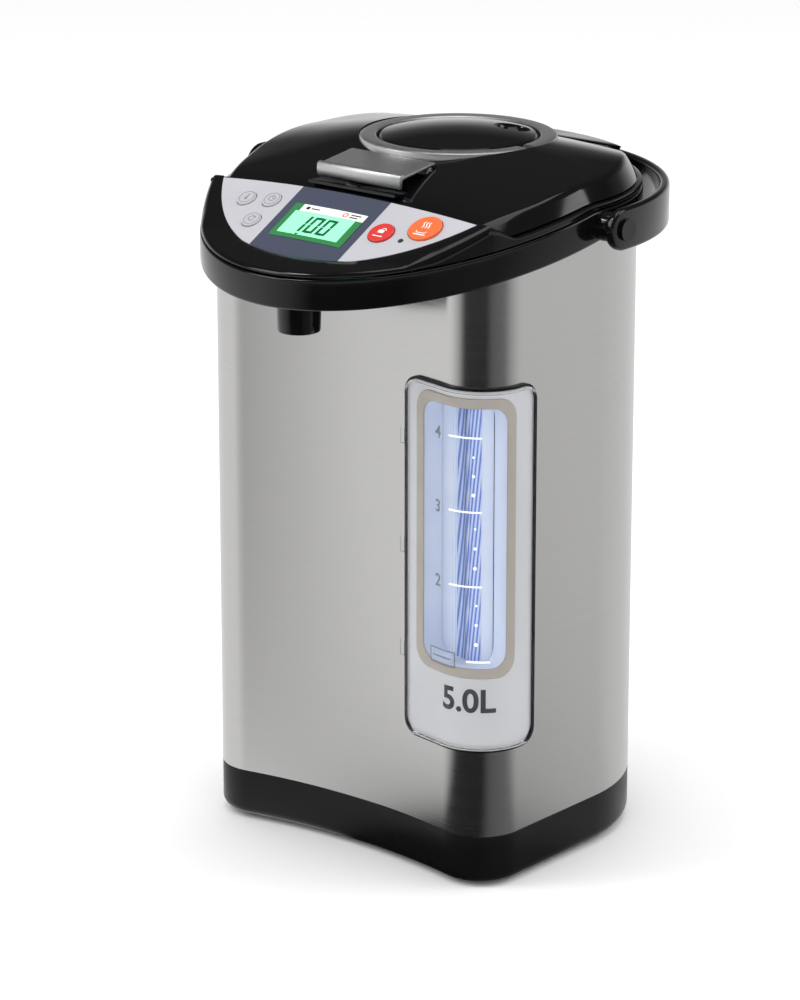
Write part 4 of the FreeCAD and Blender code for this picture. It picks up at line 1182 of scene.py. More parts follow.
def rounded_section(half_wide, half_tall, radius, steps=4):
    radius = min(radius, half_wide * 0.98, half_tall * 0.98)
    section = []
    for cx, cy, first in ((1, 1, 0), (-1, 1, 90), (-1, -1, 180), (1, -1, 270)):
        for k in range(steps + 1):
            angle = math.radians(first + 90 * k / steps)
            section.append((cx * (half_wide - radius) + radius * math.cos(angle),
                            cy * (half_tall - radius) + radius * math.sin(angle)))
    return section


def handle_piece():
    stations = []

    def pad(side, shares):
        for share in shares:
            away = share * HANDLE_HALF_TALL
            tall = math.sqrt(HANDLE_HALF_TALL ** 2 - away ** 2)
            place = (side * (HANDLE_X - HANDLE_THICK / 2), HEAD_Y - away)
            stations.append((place, (side, 0.0), tall))

    pad(1.0, PAD_SHARES)
    for k in range(121):
        t = math.pi * k / 120
        normal = Vector((math.cos(t) / HANDLE_X, math.sin(t) / HANDLE_Y)).normalized()
        point = (HANDLE_X * math.cos(t) - normal.x * HANDLE_THICK / 2,
                 HEAD_Y + HANDLE_Y * math.sin(t) - normal.y * HANDLE_THICK / 2)
        stations.append((point, (normal.x, normal.y), HANDLE_HALF_TALL))
    pad(-1.0, reversed(PAD_SHARES))
    rings = []
    for (x, y), (nx, ny), tall in stations:
        section = rounded_section(HANDLE_THICK / 2, tall, HANDLE_EDGE_R)
        rings.append([(x + nx * a, y + ny * a, PIVOT_Z + b) for a, b in section])
    return finish_piece("handle_bar", *loft(rings), "handle", *GLOSS, ["handle"], 50)


handle = handle_piece()
tell(handle)

# %% [markdown]
# The spout is a short round nozzle that flares where it meets the collar. It is
# turned round its own axis, and its flare is cut to the leaning underside.

# %% Spout
SPOUT_Y = -94.5
SPOUT_R = 10.6
SPOUT_FOOT = 278.4
FLARE_START = 9.0
FLARE = 3.4


def spout():
    foot = SPOUT_FOOT
    profile = [(6.2, foot + 6.0), (6.2, foot + 0.5), (7.0, foot), (SPOUT_R - 1.2, foot),
               (SPOUT_R - 0.3, foot + 0.4), (SPOUT_R, foot + 1.4), (SPOUT_R + 0.2, foot + FLARE_START)]
    top = collar_low(SPOUT_Y) - foot
    for k in range(9):
        share = k / 8
        reach = SPOUT_R + 0.2 + FLARE * share ** 3
        profile.append((reach, foot + FLARE_START + (top - FLARE_START) * share))
    rings = []
    for level, ring in enumerate(lathe(profile, 72)):
        lean = max(0.0, (profile[level][1] - foot - FLARE_START) / (top - FLARE_START))
        placed = []
        for x, y, z in ring:
            under = collar_low(y + SPOUT_Y) - collar_low(SPOUT_Y)
            placed.append((x, y + SPOUT_Y, z + lean * under + lean * 0.6))
        rings.append(placed)
    return finish_piece("spout", *loft(rings), "pot", *GLOSS, ["spout_cover"], 40)


spout_piece = spout()
tell(spout_piece)

# %% [markdown]
# Printed marks are flat shapes laid on a surface. Each is drawn in two directions,
# as pairs of left and right points, and placed by a function that bends it onto
# the panel, a key or the gauge. The mark is a hair thick, so it stays closed.

# %% Flat marks


def flat_marks(name, strips, place, body, material, slot, thick=0.08, sharp=30):
    verts = []
    faces = []
    for left, right, closed in strips:
        start = len(verts)
        count = len(left)
        for lift in (-0.05, thick):
            verts += [place(a, b, lift) for a, b in left]
            verts += [place(a, b, lift) for a, b in right]
        low_left, low_right = start, start + count
        top_left, top_right = start + 2 * count, start + 3 * count
        last = count if closed else count - 1
        for k in range(last):
            n = (k + 1) % count
            faces.append((top_left + k, top_right + k, top_right + n, top_left + n))
            faces.append((low_left + k, low_left + n, low_right + n, low_right + k))
            faces.append((low_left + k, top_left + k, top_left + n, low_left + n))
            faces.append((low_right + k, low_right + n, top_right + n, top_right + k))
        if not closed:
            for k in (0, count - 1):
                faces.append((low_left + k, low_right + k, top_right + k, top_left + k))
    return finish_piece(name, verts, faces, body, material, slot, (), sharp)


def bar(x0, x1, y0, y1, parts=1, slant=0.0):
    left = []
    right = []
    for k in range(parts + 1):
        x = x0 + (x1 - x0) * k / parts
        left.append((x + slant * y1, y1))
        right.append((x + slant * y0, y0))
    return left, right, False


def ring_strip(x, y, outer, inner, first=0.0, last=360.0, steps=36):
    left = []
    right = []
    closed = last - first >= 360.0
    for k in range(steps if closed else steps + 1):
        angle = math.radians(first + (last - first) * k / steps)
        left.append((x + outer * math.cos(angle), y + outer * math.sin(angle)))
        right.append((x + inner * math.cos(angle), y + inner * math.sin(angle)))
    return left, right, closed


def ribbon(points, width):
    """A line of one width through points."""
    left = []
    right = []
    for k, (x, y) in enumerate(points):
        ahead = points[min(k + 1, len(points) - 1)]
        behind = points[max(k - 1, 0)]
        run = Vector((ahead[0] - behind[0], ahead[1] - behind[1])).normalized()
        left.append((x - run.y * width / 2, y + run.x * width / 2))
        right.append((x + run.y * width / 2, y - run.x * width / 2))
    return left, right, False


PANEL_COS = math.cos(PANEL_ANGLE)
PANEL_SIN = math.sin(PANEL_ANGLE)


def on_panel(x0, y0, rise=0.0, flat=False):
    """A placer: a runs to the right and b up the slope from a place on the panel."""
    def place(a, b, lift):
        x = x0 + a
        y = y0 + b * PANEL_COS
        z = panel(x0, y0) + b * PANEL_SIN if flat else panel(x, y)
        return (x, y - (lift + rise) * PANEL_SIN, z + (lift + rise) * PANEL_COS)
    return place


# %% [markdown]
# The display is a lit green pane in a dark rim, with a pale strip above it. Each
# layer sits a hair higher than the last, so that none fights another for the same
# depth when the camera looks at it.

# %% Display face
LCD_Y = -80.0
LCD_HALF = 22.8
LCD_TALL = 12.3


def display():
    place = on_panel(0.0, LCD_Y, 0.05)
    pieces = [flat_marks("display_glass", [bar(-LCD_HALF, LCD_HALF, -LCD_TALL, LCD_TALL, 12)], place, "pot",
                         green_dark, "display", 0.12)]
    strip_top = [bar(-17.5, LCD_HALF, LCD_TALL - 5.2, LCD_TALL - 0.2, 8)]
    pieces.append(flat_marks("display_strip", strip_top, place, "pot", *WHITE_MARK, 0.18))
    face = [bar(-LCD_HALF + 3.4, LCD_HALF - 4.4, -LCD_TALL + 3.0, LCD_TALL - 5.4, 8)]
    pieces.append(flat_marks("display_lit", face, place, "pot", green_glow, "display", 0.2))
    marks = [
        ring_strip(-13.5, LCD_TALL - 2.6, 1.1, 0.02),
        bar(-11.4, -6.0, LCD_TALL - 3.0, LCD_TALL - 2.3),
        bar(13.4, 19.6, LCD_TALL - 2.2, LCD_TALL - 1.5),
        bar(13.4, 18.2, LCD_TALL - 3.9, LCD_TALL - 3.2),
    ]
    pieces.append(flat_marks("display_marks", marks, place, "pot", dark_print, "black_satin", 0.24))
    glow_ring = [ring_strip(10.3, LCD_TALL - 2.7, 1.6, 1.0)]
    pieces.append(flat_marks("display_ring", glow_ring, place, "pot", orange_key, "button_orange", 0.24))
    return pieces


display_pieces = display()
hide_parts("lcd_window")
tell(*display_pieces)

# %% [markdown]
# A digit on such a display is up to seven bars. Each bar is a mark of its own, all
# leaning by the same slant, and a digit only names the bars it lights.

# %% Seven-bar digits
SEGMENTS = {"0": "abcdef", "1": "bc"}
DIGIT_WIDE = 6.3
DIGIT_TALL = 12.0
DIGIT_BAR = 1.7
DIGIT_STEP = 7.9
DIGIT_START = (-13.2, -7.4)


def digit_strips(symbol, x, y):
    wide, tall, thick = DIGIT_WIDE, DIGIT_TALL, DIGIT_BAR
    half = tall / 2
    gap = 0.18
    boxes = {
        "a": (thick, wide - thick, tall - thick, tall),
        "b": (wide - thick, wide, half + gap, tall - gap),
        "c": (wide - thick, wide, gap, half - gap),
        "d": (thick, wide - thick, 0, thick),
        "e": (0, thick, gap, half - gap),
        "f": (0, thick, half + gap, tall - gap),
    }
    strips = []
    for key in SEGMENTS[symbol]:
        x0, x1, y0, y1 = boxes[key]
        left, right, closed = bar(x + x0, x + x1, y0, y1, 1, 0.12)
        strips.append(([(a, b + y) for a, b in left], [(a, b + y) for a, b in right], closed))
    return strips


def digits():
    strips = []
    for k, symbol in enumerate("100"):
        strips += digit_strips(symbol, DIGIT_START[0] + DIGIT_STEP * k, DIGIT_START[1])
    marker = ([(-8.6, -8.4), (-6.0, -8.4)], [(-7.31, -9.6), (-7.29, -9.6)], False)
    place = on_panel(0.0, LCD_Y, 0.05)
    return flat_marks("display_digits", strips + [marker], place, "pot", green_digits, "display", 0.26)


digit_piece = digits()
tell(digit_piece)

# %% [markdown]
# Icons on the keys are the plain ones any kettle uses: steam for dispensing, an
# open padlock, a thermometer, a clock and a round arrow. They are drawn as thin
# ribbons and ride on the key below them.

# %% Key icons
KEY_RISE = 0.92
KEYS = {
    "button_unlock": (37.3, -77.1), "button_dispense": (57.5, -68.5), "button_temperature": (-54.0, -71.0),
    "button_timer": (-38.5, -70.0), "button_reboil": (-39.5, -84.0),
}


def steam_lines(x, y, scale):
    lines = []
    for k in (-1, 0, 1):
        points = []
        for step in range(13):
            t = step / 12
            sway = k * 1.7 + 0.45 * math.sin(t * 2 * math.pi)
            points.append((x + scale * sway, y + scale * (t - 0.5) * 4.2))
        lines.append(ribbon(points, 0.55 * scale))
    return lines


def cup_line(x, y, scale):
    points = [(x + scale * a, y + scale * b) for a, b in ((-3.0, 0.0), (-2.5, -1.3), (2.5, -1.3), (3.0, 0.0))]
    return ribbon(points, 0.5 * scale)


def key_icon(key, strips, material, slot):
    x, y = KEYS[key]
    return flat_marks(key + "_icon", strips, on_panel(x, y, KEY_RISE, True), key, material, slot, 0.05)


# A grey ring round the icon on each grey key: painted shade in place of the edge of the key's embossed rim.
EMBOSS_RIM_SHADE = ring_strip(0, 0.4, 4.2, 3.95)
ICONS = (
    ("button_dispense", WHITE_MARK,
     steam_lines(0.0, 1.8, 1.0) + [cup_line(0.0, -2.6, 1.0), bar(-3.6, 3.6, -5.6, -4.9)]),
    ("button_unlock", WHITE_MARK,
     [bar(-1.7, 1.7, -0.6, 1.5), ring_strip(0.9, 1.5, 1.5, 1.0, 0, 180, 16), bar(-2.9, 2.9, -3.3, -2.7)]),
    ("button_temperature", GREY_MARK,
     [ring_strip(0, -0.6, 0.8, 0.02), bar(-0.3, 0.3, -0.4, 2.6), EMBOSS_RIM_SHADE]),
    ("button_timer", GREY_MARK,
     [ring_strip(0, 0.6, 2.0, 1.65), bar(-0.18, 0.18, 0.6, 2.0), bar(0, 1.2, 0.5, 0.8), EMBOSS_RIM_SHADE]),
    ("button_reboil", GREY_MARK,
     [ring_strip(0, 0.5, 1.9, 1.5, 40, 340, 30), ribbon([(1.2, 2.5), (1.8, 1.5), (0.6, 1.2)], 0.4), EMBOSS_RIM_SHADE]),
)
icons = [key_icon(key, strips, *look) for key, look, strips in ICONS]
tell(*icons)

# %% [markdown]
# The gauge wraps a corner. Its parts use the outline path: one number runs along
# the path and the other up. The beige frame is a set of rounded rectangles drawn
# in those two numbers and then bent onto the body.

# %% Gauge frame and liner
FRAME_LEFT = 46.0
FRAME_RIGHT_Y = -44.0
FRAME_LOW = 110.0
FRAME_HIGH = 252.0
FRAME_BORDER = 5.2
LINER_DEPTH = 11.2
PATH_PARTS = 28
COVER_LEFT = 38.0
COVER_RIGHT_Y = -30.0
COVER_LOW = 72.0
COVER_HIGH = 257.0
COVER_LINE = 1.6
BACKING_STEPS = 8
# How much the plate and the stripes glow: painted light against the shade behind the clear cover.
PLATE_PAINTED_GLOW = 0.08


def on_gauge(rise=0.0):
    def place(a, b, lift):
        x, y = outline_at(a, rise + lift)
        return (x, y, b)
    return place


U_FRAME_LEFT = u_front(FRAME_LEFT)
U_FRAME_RIGHT = u_side(FRAME_RIGHT_Y)


def rounded_path(u0, u1, z0, z1, corner):
    """A rounded rectangle in path and height, with points along its straight runs."""
    points = []
    corners = ((u1 - corner, z1 - corner, 0), (u0 + corner, z1 - corner, 90),
               (u0 + corner, z0 + corner, 180), (u1 - corner, z0 + corner, 270))
    for index, (cu, cz, first) in enumerate(corners):
        for k in range(13):
            angle = math.radians(first + 90 * k / 12)
            points.append((cu + corner * math.cos(angle), cz + corner * math.sin(angle)))
        following = corners[(index + 1) % 4]
        angle = math.radians(first + 90)
        start = points[-1]
        stop = (following[0] + corner * math.cos(angle), following[1] + corner * math.sin(angle))
        for k in range(1, PATH_PARTS):
            share = k / PATH_PARTS
            along = start[0] + (stop[0] - start[0]) * share
            points.append((along, start[1] + (stop[1] - start[1]) * share))
    return points


def frame_outline(inset, corner):
    left, right = U_FRAME_LEFT + inset, U_FRAME_RIGHT - inset
    return rounded_path(left, right, FRAME_LOW + inset, FRAME_HIGH - inset, corner)


def bent_ring(inset, corner, rise):
    return [(*outline_at(u, rise), z) for u, z in frame_outline(inset, corner)]


def gauge_frame():
    rings = [bent_ring(0.0, 10.0, 0.05), bent_ring(0.1, 10.0, 0.55), bent_ring(0.5, 9.6, 0.9),
             bent_ring(FRAME_BORDER - 0.7, 8.4, 0.9), bent_ring(FRAME_BORDER - 0.1, 8.1, 0.6),
             bent_ring(FRAME_BORDER, 8.0, 0.05)]
    return finish_piece("gauge_frame", *tunnel(rings), "pot", beige, "gauge_beige", ["gauge_bezel"], 40)


def gauge_liner():
    rings = [bent_ring(FRAME_BORDER, 8.0, 0.0), bent_ring(FRAME_BORDER + 0.2, 8.0, -LINER_DEPTH),
             bent_ring(FRAME_BORDER - 1.0, 8.6, -LINER_DEPTH), bent_ring(FRAME_BORDER - 1.0, 8.6, 0.0)]
    return finish_piece("gauge_liner", *tunnel(rings), "pot", gauge_white, "gauge_white", sharp=40)


def gauge_backing():
    """A pale film behind the clear cover, between its black line and the beige frame."""
    u0 = u_front(COVER_LEFT) + COVER_LINE
    u1 = u_side(COVER_RIGHT_Y) - COVER_LINE
    outer = rounded_path(u0, u1, COVER_LOW + COVER_LINE, COVER_HIGH - COVER_LINE, 8.0)
    inner = frame_outline(1.0, 8.5)
    steps = BACKING_STEPS
    rings = [[(*outline_at(u, 0.05), z) for u, z in outer]]
    for k in range(steps + 1):
        ring = []
        for (u_out, z_out), (u_in, z_in) in zip(outer, inner):
            u = u_out + (u_in - u_out) * k / steps
            ring.append((*outline_at(u, 0.3), z_out + (z_in - z_out) * k / steps))
        rings.append(ring)
    rings.append([(*outline_at(u, 0.05), z) for u, z in inner])
    return finish_piece("gauge_backing", *tunnel(rings), "pot", backing_film, "gauge_white", sharp=40)


def plate_finish():
    """White plate with a pale blue tint; on the real plate it deepens to the right, here it drifts at random.
    """
    material, tree, shader = finish_nodes("gauge_plate_white", (0.82, 0.86, 0.95), 0.35)
    cloud = noise(tree, 30.0)
    shade = tint(tree, cloud, (0.56, 0.64, 0.82), (0.74, 0.78, 0.88))
    # The plate also glows a little: painted light that makes up for the shade behind the clear cover.
    self_lit(tree, shader, shade, PLATE_PAINTED_GLOW)
    bump(tree, shader, noise(tree, 500.0), 0.00001)
    return material


# This plate finish carries a little painted light, and the liner shares it.
gauge_white = plate_finish()
for slot in frame["nodes"]["gauge_plate"].material_slots:
    slot.material = gauge_white
frame_piece = gauge_frame()
liner_piece = gauge_liner()
backing_piece = gauge_backing()
tell(frame_piece, liner_piece, backing_piece)

# %% [markdown]
# Some marks are placed by where they fall in the picture. The camera's place and
# direction are known, so a point can be followed into the picture and the outline
# searched for the distance that lands in one column.

# %% From a picture column to the outline
CAMERA_PLACE = Vector((1.28737, -1.55899, 0.78956))
CAMERA_FORWARD = Vector((-0.61317, 0.73374, -0.29266)).normalized()
CAMERA_LENS = 150.1
SENSOR = 36.0
PICTURE_WIDTH = 800
PICTURE_HEIGHT = 1000


def seen_at(point):
    """Where a point in millimetres falls in the picture."""
    right = CAMERA_FORWARD.cross(Vector((0, 0, 1))).normalized()
    up = right.cross(CAMERA_FORWARD)
    ray = Vector(point) * MM - CAMERA_PLACE
    zoom = CAMERA_LENS / SENSOR * PICTURE_HEIGHT / ray.dot(CAMERA_FORWARD)
    return PICTURE_WIDTH / 2 + zoom * ray.dot(right), PICTURE_HEIGHT / 2 - zoom * ray.dot(up)


def u_seen(column, z, rise):
    """The distance along the outline, on its right front, that lands in one picture column."""
    u = 20.0
    while seen_at((*outline_at(u, rise), z))[0] < column and u < 160:
        u += 0.1
    return u


print("gauge's left edge in the picture:", round(seen_at((*outline_at(U_FRAME_LEFT), FRAME_LOW))[0]))

# %% [markdown]
# A striped strip stands behind the glass tube, so that the water bends its lines
# and the level can be read. It is a bent sheet with its own UV layer, and the
# stripes come from that layer: one wave that leans as it climbs.

# %% Striped strip
STRIP_COLUMNS = (457, 481)
STRIP_LEVEL = 180
STRIP_RISE = -LINER_DEPTH - 0.1
STRIP_LEFT, STRIP_RIGHT = (u_seen(column, STRIP_LEVEL, STRIP_RISE) for column in STRIP_COLUMNS)
STRIP_LOW = 112.0
STRIP_HIGH = 250.0
STRIPE_COUNT = 2.1
STRIPE_LEAN = 2.2


def stripe_finish():
    material, tree, shader = finish_nodes("stripe_blue", (0.2, 0.3, 0.8), 0.35)
    layer = tree.nodes.new("ShaderNodeUVMap")
    layer.uv_map = "stripes"
    wave = add_node(tree, "ShaderNodeTexWave", Scale=1.0, Distortion=0.25, Detail=1.0)
    wave.wave_profile = "SIN"
    wave.bands_direction = "X"
    tree.links.new(layer.outputs["UV"], wave.inputs["Vector"])
    shade = tint(tree, wave.outputs["Fac"], (0.1, 0.17, 0.6), (0.6, 0.7, 0.92))
    # The stripes glow as much as the plate: painted light for the shade behind the clear cover.
    self_lit(tree, shader, shade, PLATE_PAINTED_GLOW)
    bump(tree, shader, noise(tree, 500.0), 0.00001)
    return material


def striped_strip():
    columns = 14
    rows = 40
    verts = []
    for r in range(rows + 1):
        z = STRIP_LOW + (STRIP_HIGH - STRIP_LOW) * r / rows
        for c in range(columns + 1):
            u = STRIP_LEFT + (STRIP_RIGHT - STRIP_LEFT) * c / columns
            verts.append((*outline_at(u, STRIP_RISE + 0.15), z))
    faces = grid_faces(rows + 1, columns + 1)
    piece = finish_piece("gauge_stripes", verts, faces, "pot", stripe_finish(), "band_blue", mend=False)
    layer = piece.data.uv_layers.new(name="stripes")
    for loop in piece.data.loops:
        r, c = divmod(loop.vertex_index, columns + 1)
        layer.data[loop.index].uv = (c / columns * STRIPE_COUNT - r / rows * STRIPE_LEAN, r / rows)
    return piece


stripes = striped_strip()
tell(stripes)

# %% [markdown]
# The scale is printed on the clear cover: lines at three levels and their numbers,
# with a short line and a small box for low water. The capacity is on the pale film
# below. Numbers are text made a mesh, cut in columns and bent onto the outline.

# %% Scale lines and numbers
SCALE_RISE = 1.35
LINE_HALF = 0.45
LINE_LEVELS = {"4": 232.6, "3": 195.3, "2": 157.5}
LOW_LEVEL = 119.0
LINE_COLUMNS = (449, 482)
LOW_LINE_COLUMNS = (466, 490)
LOW_BOX_COLUMNS = (431, 455)
NUMBER_COLUMN = 438.5
NUMBER_TALL = 6.2
CAPACITY_COLUMN = 466.5
CAPACITY_LEVEL = 98.6
CAPACITY_TALL = 11.6
CAPACITY_RISE = 0.36
COLUMN_PITCH = 1.2
CAPITAL_SHARE = 0.7


def span_seen(columns, z):
    return [u_seen(column, z, SCALE_RISE) for column in columns]


def scale_lines():
    strips = []
    for z in LINE_LEVELS.values():
        u0, u1 = span_seen(LINE_COLUMNS, z)
        strips.append(bar(u0, u1, z - LINE_HALF, z + LINE_HALF, 10))
    u0, u1 = span_seen(LOW_LINE_COLUMNS, LOW_LEVEL)
    strips.append(bar(u0, u1, LOW_LEVEL - 0.5, LOW_LEVEL + 0.5, 10))
    # The lines glow a little: painted light against the shade under the clear cover.
    return flat_marks("scale_lines", strips, on_gauge(SCALE_RISE), "pot", scale_white, "gauge_white", 0.04)


def low_water_box():
    u0, u1 = span_seen(LOW_BOX_COLUMNS, LOW_LEVEL)
    z0, z1 = LOW_LEVEL - 4.4, LOW_LEVEL + 3.8
    strips = [bar(u0, u1, z0, z0 + 0.6, 4), bar(u0, u1, z1 - 0.6, z1, 4),
              bar(u0, u0 + 0.6, z0, z1), bar(u1 - 0.6, u1, z0, z1),
              bar(u0 + 2.2, u1 - 2.2, LOW_LEVEL - 0.7, LOW_LEVEL + 0.1, 4)]
    return flat_marks("low_water_box", strips, on_gauge(SCALE_RISE), "pot", *GREY_MARK, 0.04)


def cut_in_columns(mesh, pitch):
    """Cut a flat shape into narrow columns, so that it can bend round a corner."""
    work = bmesh.new()
    work.from_mesh(mesh)
    reach = max(abs(v.co.x) for v in work.verts)
    for k in range(-int(reach / pitch), int(reach / pitch) + 1):
        parts = work.verts[:] + work.edges[:] + work.faces[:]
        bmesh.ops.bisect_plane(work, geom=parts, plane_co=(k * pitch, 0, 0), plane_no=(1, 0, 0))
    work.to_mesh(mesh)
    work.free()


def number(name, words, tall, column, z, rise, material, slot, thick=0.05, weight=0.016):
    """A number in the plain built-in face, centred on a picture column and bent onto the outline."""
    curve = bpy.data.curves.new(name, "FONT")
    curve.body = words
    curve.align_x = "CENTER"
    curve.size = tall / CAPITAL_SHARE
    curve.extrude = 0.05
    curve.offset = weight * tall
    mesh = evaluated(linked(name, curve), name, material)
    cut_in_columns(mesh, COLUMN_PITCH)
    middle = u_seen(column, z, rise)
    for vert in mesh.vertices:
        x, y = outline_at(middle + vert.co.x, rise + thick * (1 if vert.co.z > 0 else -1))
        vert.co = Vector((x, y, z - tall / 2 + vert.co.y)) * MM
    recalculate(mesh)
    mesh.shade_flat()
    piece = linked(name, mesh)
    dress(piece, "pot", slot)
    return piece


line_piece = scale_lines()
box_piece = low_water_box()
numbers = []
for words, z in LINE_LEVELS.items():
    name = "number_" + words
    numbers.append(number(name, words, NUMBER_TALL, NUMBER_COLUMN, z + 0.3, SCALE_RISE, *GREY_MARK))
numbers.append(number("capacity", "5.0L", CAPACITY_TALL, CAPACITY_COLUMN, CAPACITY_LEVEL, CAPACITY_RISE,
                      dark_print, "black_satin", 0.06, 0.035))
tell(line_piece, box_piece, *numbers)

# %% [markdown]
# The small dots between the scale lines repeat at one spacing, so Geometry Nodes
# sets them out: a line of points, one short cylinder on each, made real and given
# its material inside the tree.

# %% Dots by Geometry Nodes
DOT_SOCKETS = (
    ("Count", "Int"), ("Start", "Vector"), ("Step", "Vector"), ("Radius", "Float"),
    ("Turn", "Vector"), ("Finish", "Material"), ("Seed", "Int"),
)
DOT_SEED = 7
DOT_COUNT = 3
DOT_R = 0.9
DOT_THICK = 0.12
DOT_SIDES = 20
DOT_SMALLEST = 0.65
DOT_LARGEST = 1.15
DOT_ROWS = (
    ("dots_high", 473.5, 204.0, 223.0),
    ("dots_middle", 475.0, 167.0, 187.0),
    ("dots_low", 476.0, 128.0, 148.0),
)


def dot_tree():
    tree = bpy.data.node_groups.new("repeat_dots", "GeometryNodeTree")
    face = tree.interface
    for label, kind in DOT_SOCKETS:
        face.new_socket(label, in_out="INPUT", socket_type="NodeSocket" + kind)
    face.new_socket("Geometry", in_out="OUTPUT", socket_type="NodeSocketGeometry")
    given = tree.nodes.new("NodeGroupInput")
    result = tree.nodes.new("NodeGroupOutput")
    row = tree.nodes.new("GeometryNodeMeshLine")
    dot = add_node(tree, "GeometryNodeMeshCylinder", Vertices=DOT_SIDES, Depth=DOT_THICK * MM)
    scatter = tree.nodes.new("GeometryNodeInstanceOnPoints")
    sizes = tree.nodes.new("FunctionNodeRandomValue")
    real = tree.nodes.new("GeometryNodeRealizeInstances")
    finish = tree.nodes.new("GeometryNodeSetMaterial")
    sizes.inputs[2].default_value = DOT_SMALLEST
    sizes.inputs[3].default_value = DOT_LARGEST
    wire(
        tree,
        (given, "Count", row, "Count"),
        (given, "Start", row, "Start Location"),
        (given, "Step", row, "Offset"),
        (given, "Radius", dot, "Radius"),
        (given, "Seed", sizes, "Seed"),
        (row, "Mesh", scatter, "Points"),
        (dot, "Mesh", scatter, "Instance"),
        (given, "Turn", scatter, "Rotation"),
        (sizes, 1, scatter, "Scale"),
        (scatter, "Instances", real, "Geometry"),
        (real, "Geometry", finish, "Geometry"),
        (given, "Finish", finish, "Material"),
        (finish, "Geometry", result, "Geometry"),
    )
    return tree


def dots(name, column, low, high, count):
    middle = u_seen(column, (low + high) / 2, SCALE_RISE)
    x, y = outline_at(middle, SCALE_RISE)
    ahead = outline_at(middle + 0.1, SCALE_RISE)
    turn = math.atan2(ahead[1] - y, ahead[0] - x)
    draft = linked(name, bpy.data.meshes.new(name))
    nodes = draft.modifiers.new("repeat", "NODES")
    nodes.node_group = bpy.data.node_groups.get("repeat_dots") or dot_tree()
    face = nodes.node_group.interface
    sockets = {s.name: s.identifier for s in face.items_tree if s.in_out == "INPUT"}
    values = {
        "Count": count, "Start": (x * MM, y * MM, low * MM),
        "Step": (0.0, 0.0, (high - low) / (count - 1) * MM), "Radius": DOT_R * MM,
        "Turn": (math.pi / 2, 0.0, turn), "Finish": scale_white, "Seed": DOT_SEED,
    # The dots glow like the scale lines: painted light.
    }
    for key, value in values.items():
        nodes[sockets[key]] = value
    draft.update_tag()
    piece = linked(name, evaluated(draft, name))
    dress(piece, "pot", "gauge_white")
    return piece


dot_rows = [dots(*row, DOT_COUNT) for row in DOT_ROWS]
tell(*dot_rows)

# %% [markdown]
# A picture needs a floor, light and a camera. The floor is pale and keeps the
# shadow. Large soft lights stand at the left front, the right rear and above,
# and the floor looks dark in reflections on the camera side, which draws the band
# down the steel corner.

# %% Floor
FLOOR_REACH = 9.0
MIRROR_SECTOR = (
    (-130.0, 1.0), (-108.0, 0.6), (-92.0, 0.03), (-42.0, 0.02),
    (-30.0, 0.13), (0.0, 0.2), (22.0, 0.55), (50.0, 0.8),
)


def stage_mesh(name, verts, faces, material):
    mesh = bpy.data.meshes.new(name)
    mesh.from_pydata(verts, [], faces)
    mesh.materials.append(material)
    piece = linked(name, mesh)
    return piece


def mirror_share(tree, path):
    """1 for a ray that has just been mirrored, 0 for one that came through clear plastic."""
    less = tree.nodes.new("ShaderNodeMath")
    less.operation = "SUBTRACT"
    less.use_clamp = True
    tree.links.new(path.outputs["Is Glossy Ray"], less.inputs[0])
    tree.links.new(path.outputs["Is Transmission Ray"], less.inputs[1])
    return less.outputs["Value"]


def shade_stops(ramp, first, last, between):
    """Give a colour ramp its two end stops and those between them, as (position, grey)."""
    stops = ramp.color_ramp.elements
    for index, (position, shade) in enumerate((first, last)):
        stops[index].position = position
        stops[index].color = (shade, shade, shade, 1)
    for position, shade in between:
        stops.new(position).color = (shade, shade, shade, 1)


def floor_finish():
    """Pale paint that darkens, in reflections only, towards the camera's side."""
    material, tree, shader = finish_nodes("pale_floor", (0.95, 0.95, 0.95), 0.5, specular=0.2)
    paint(tree, shader, noise(tree, 3.0), (0.945, 0.945, 0.945), (0.955, 0.955, 0.955))
    place = tree.nodes.new("ShaderNodeTexCoord")
    split = tree.nodes.new("ShaderNodeSeparateXYZ")
    turn = tree.nodes.new("ShaderNodeMath")
    turn.operation = "ARCTAN2"
    degrees = add_node(tree, "ShaderNodeMapRange", From_Min=-math.pi, From_Max=math.pi)
    ramp = tree.nodes.new("ShaderNodeValToRGB")
    between = [((azimuth + 180.0) / 360.0, shade) for azimuth, shade in MIRROR_SECTOR]
    shade_stops(ramp, (0.0, 1.0), (1.0, 1.0), between)
    glow = tree.nodes.new("ShaderNodeEmission")
    path = tree.nodes.new("ShaderNodeLightPath")
    mix = tree.nodes.new("ShaderNodeMixShader")
    out = tree.nodes["Material Output"]
    tree.links.new(mirror_share(tree, path), mix.inputs["Fac"])
    wire(
        tree,
        (place, "Object", split, "Vector"),
        (split, "Y", turn, 0),
        (split, "X", turn, 1),
        (turn, "Value", degrees, "Value"),
        (degrees, "Result", ramp, "Fac"),
        (ramp, "Color", glow, "Color"),
        (shader, "BSDF", mix, 1),
        (glow, "Emission", mix, 2),
        (mix, "Shader", out, "Surface"),
    )
    return material


floor_corners = [(FLOOR_REACH * x, FLOOR_REACH * y, 0) for x, y in ((-1, -1), (1, -1), (1, 1), (-1, 1))]
floor = stage_mesh("floor", floor_corners, [(0, 1, 2, 3)], floor_finish())
print("floor reaches", FLOOR_REACH, "m each way")

# %% [markdown]
# The world is white to the camera and a little brighter than white as light. Seen
# in a mirror it is bright near the floor and dark above, which gives the polished
# plastic its deep black. It has no sampling map, because it is smooth.

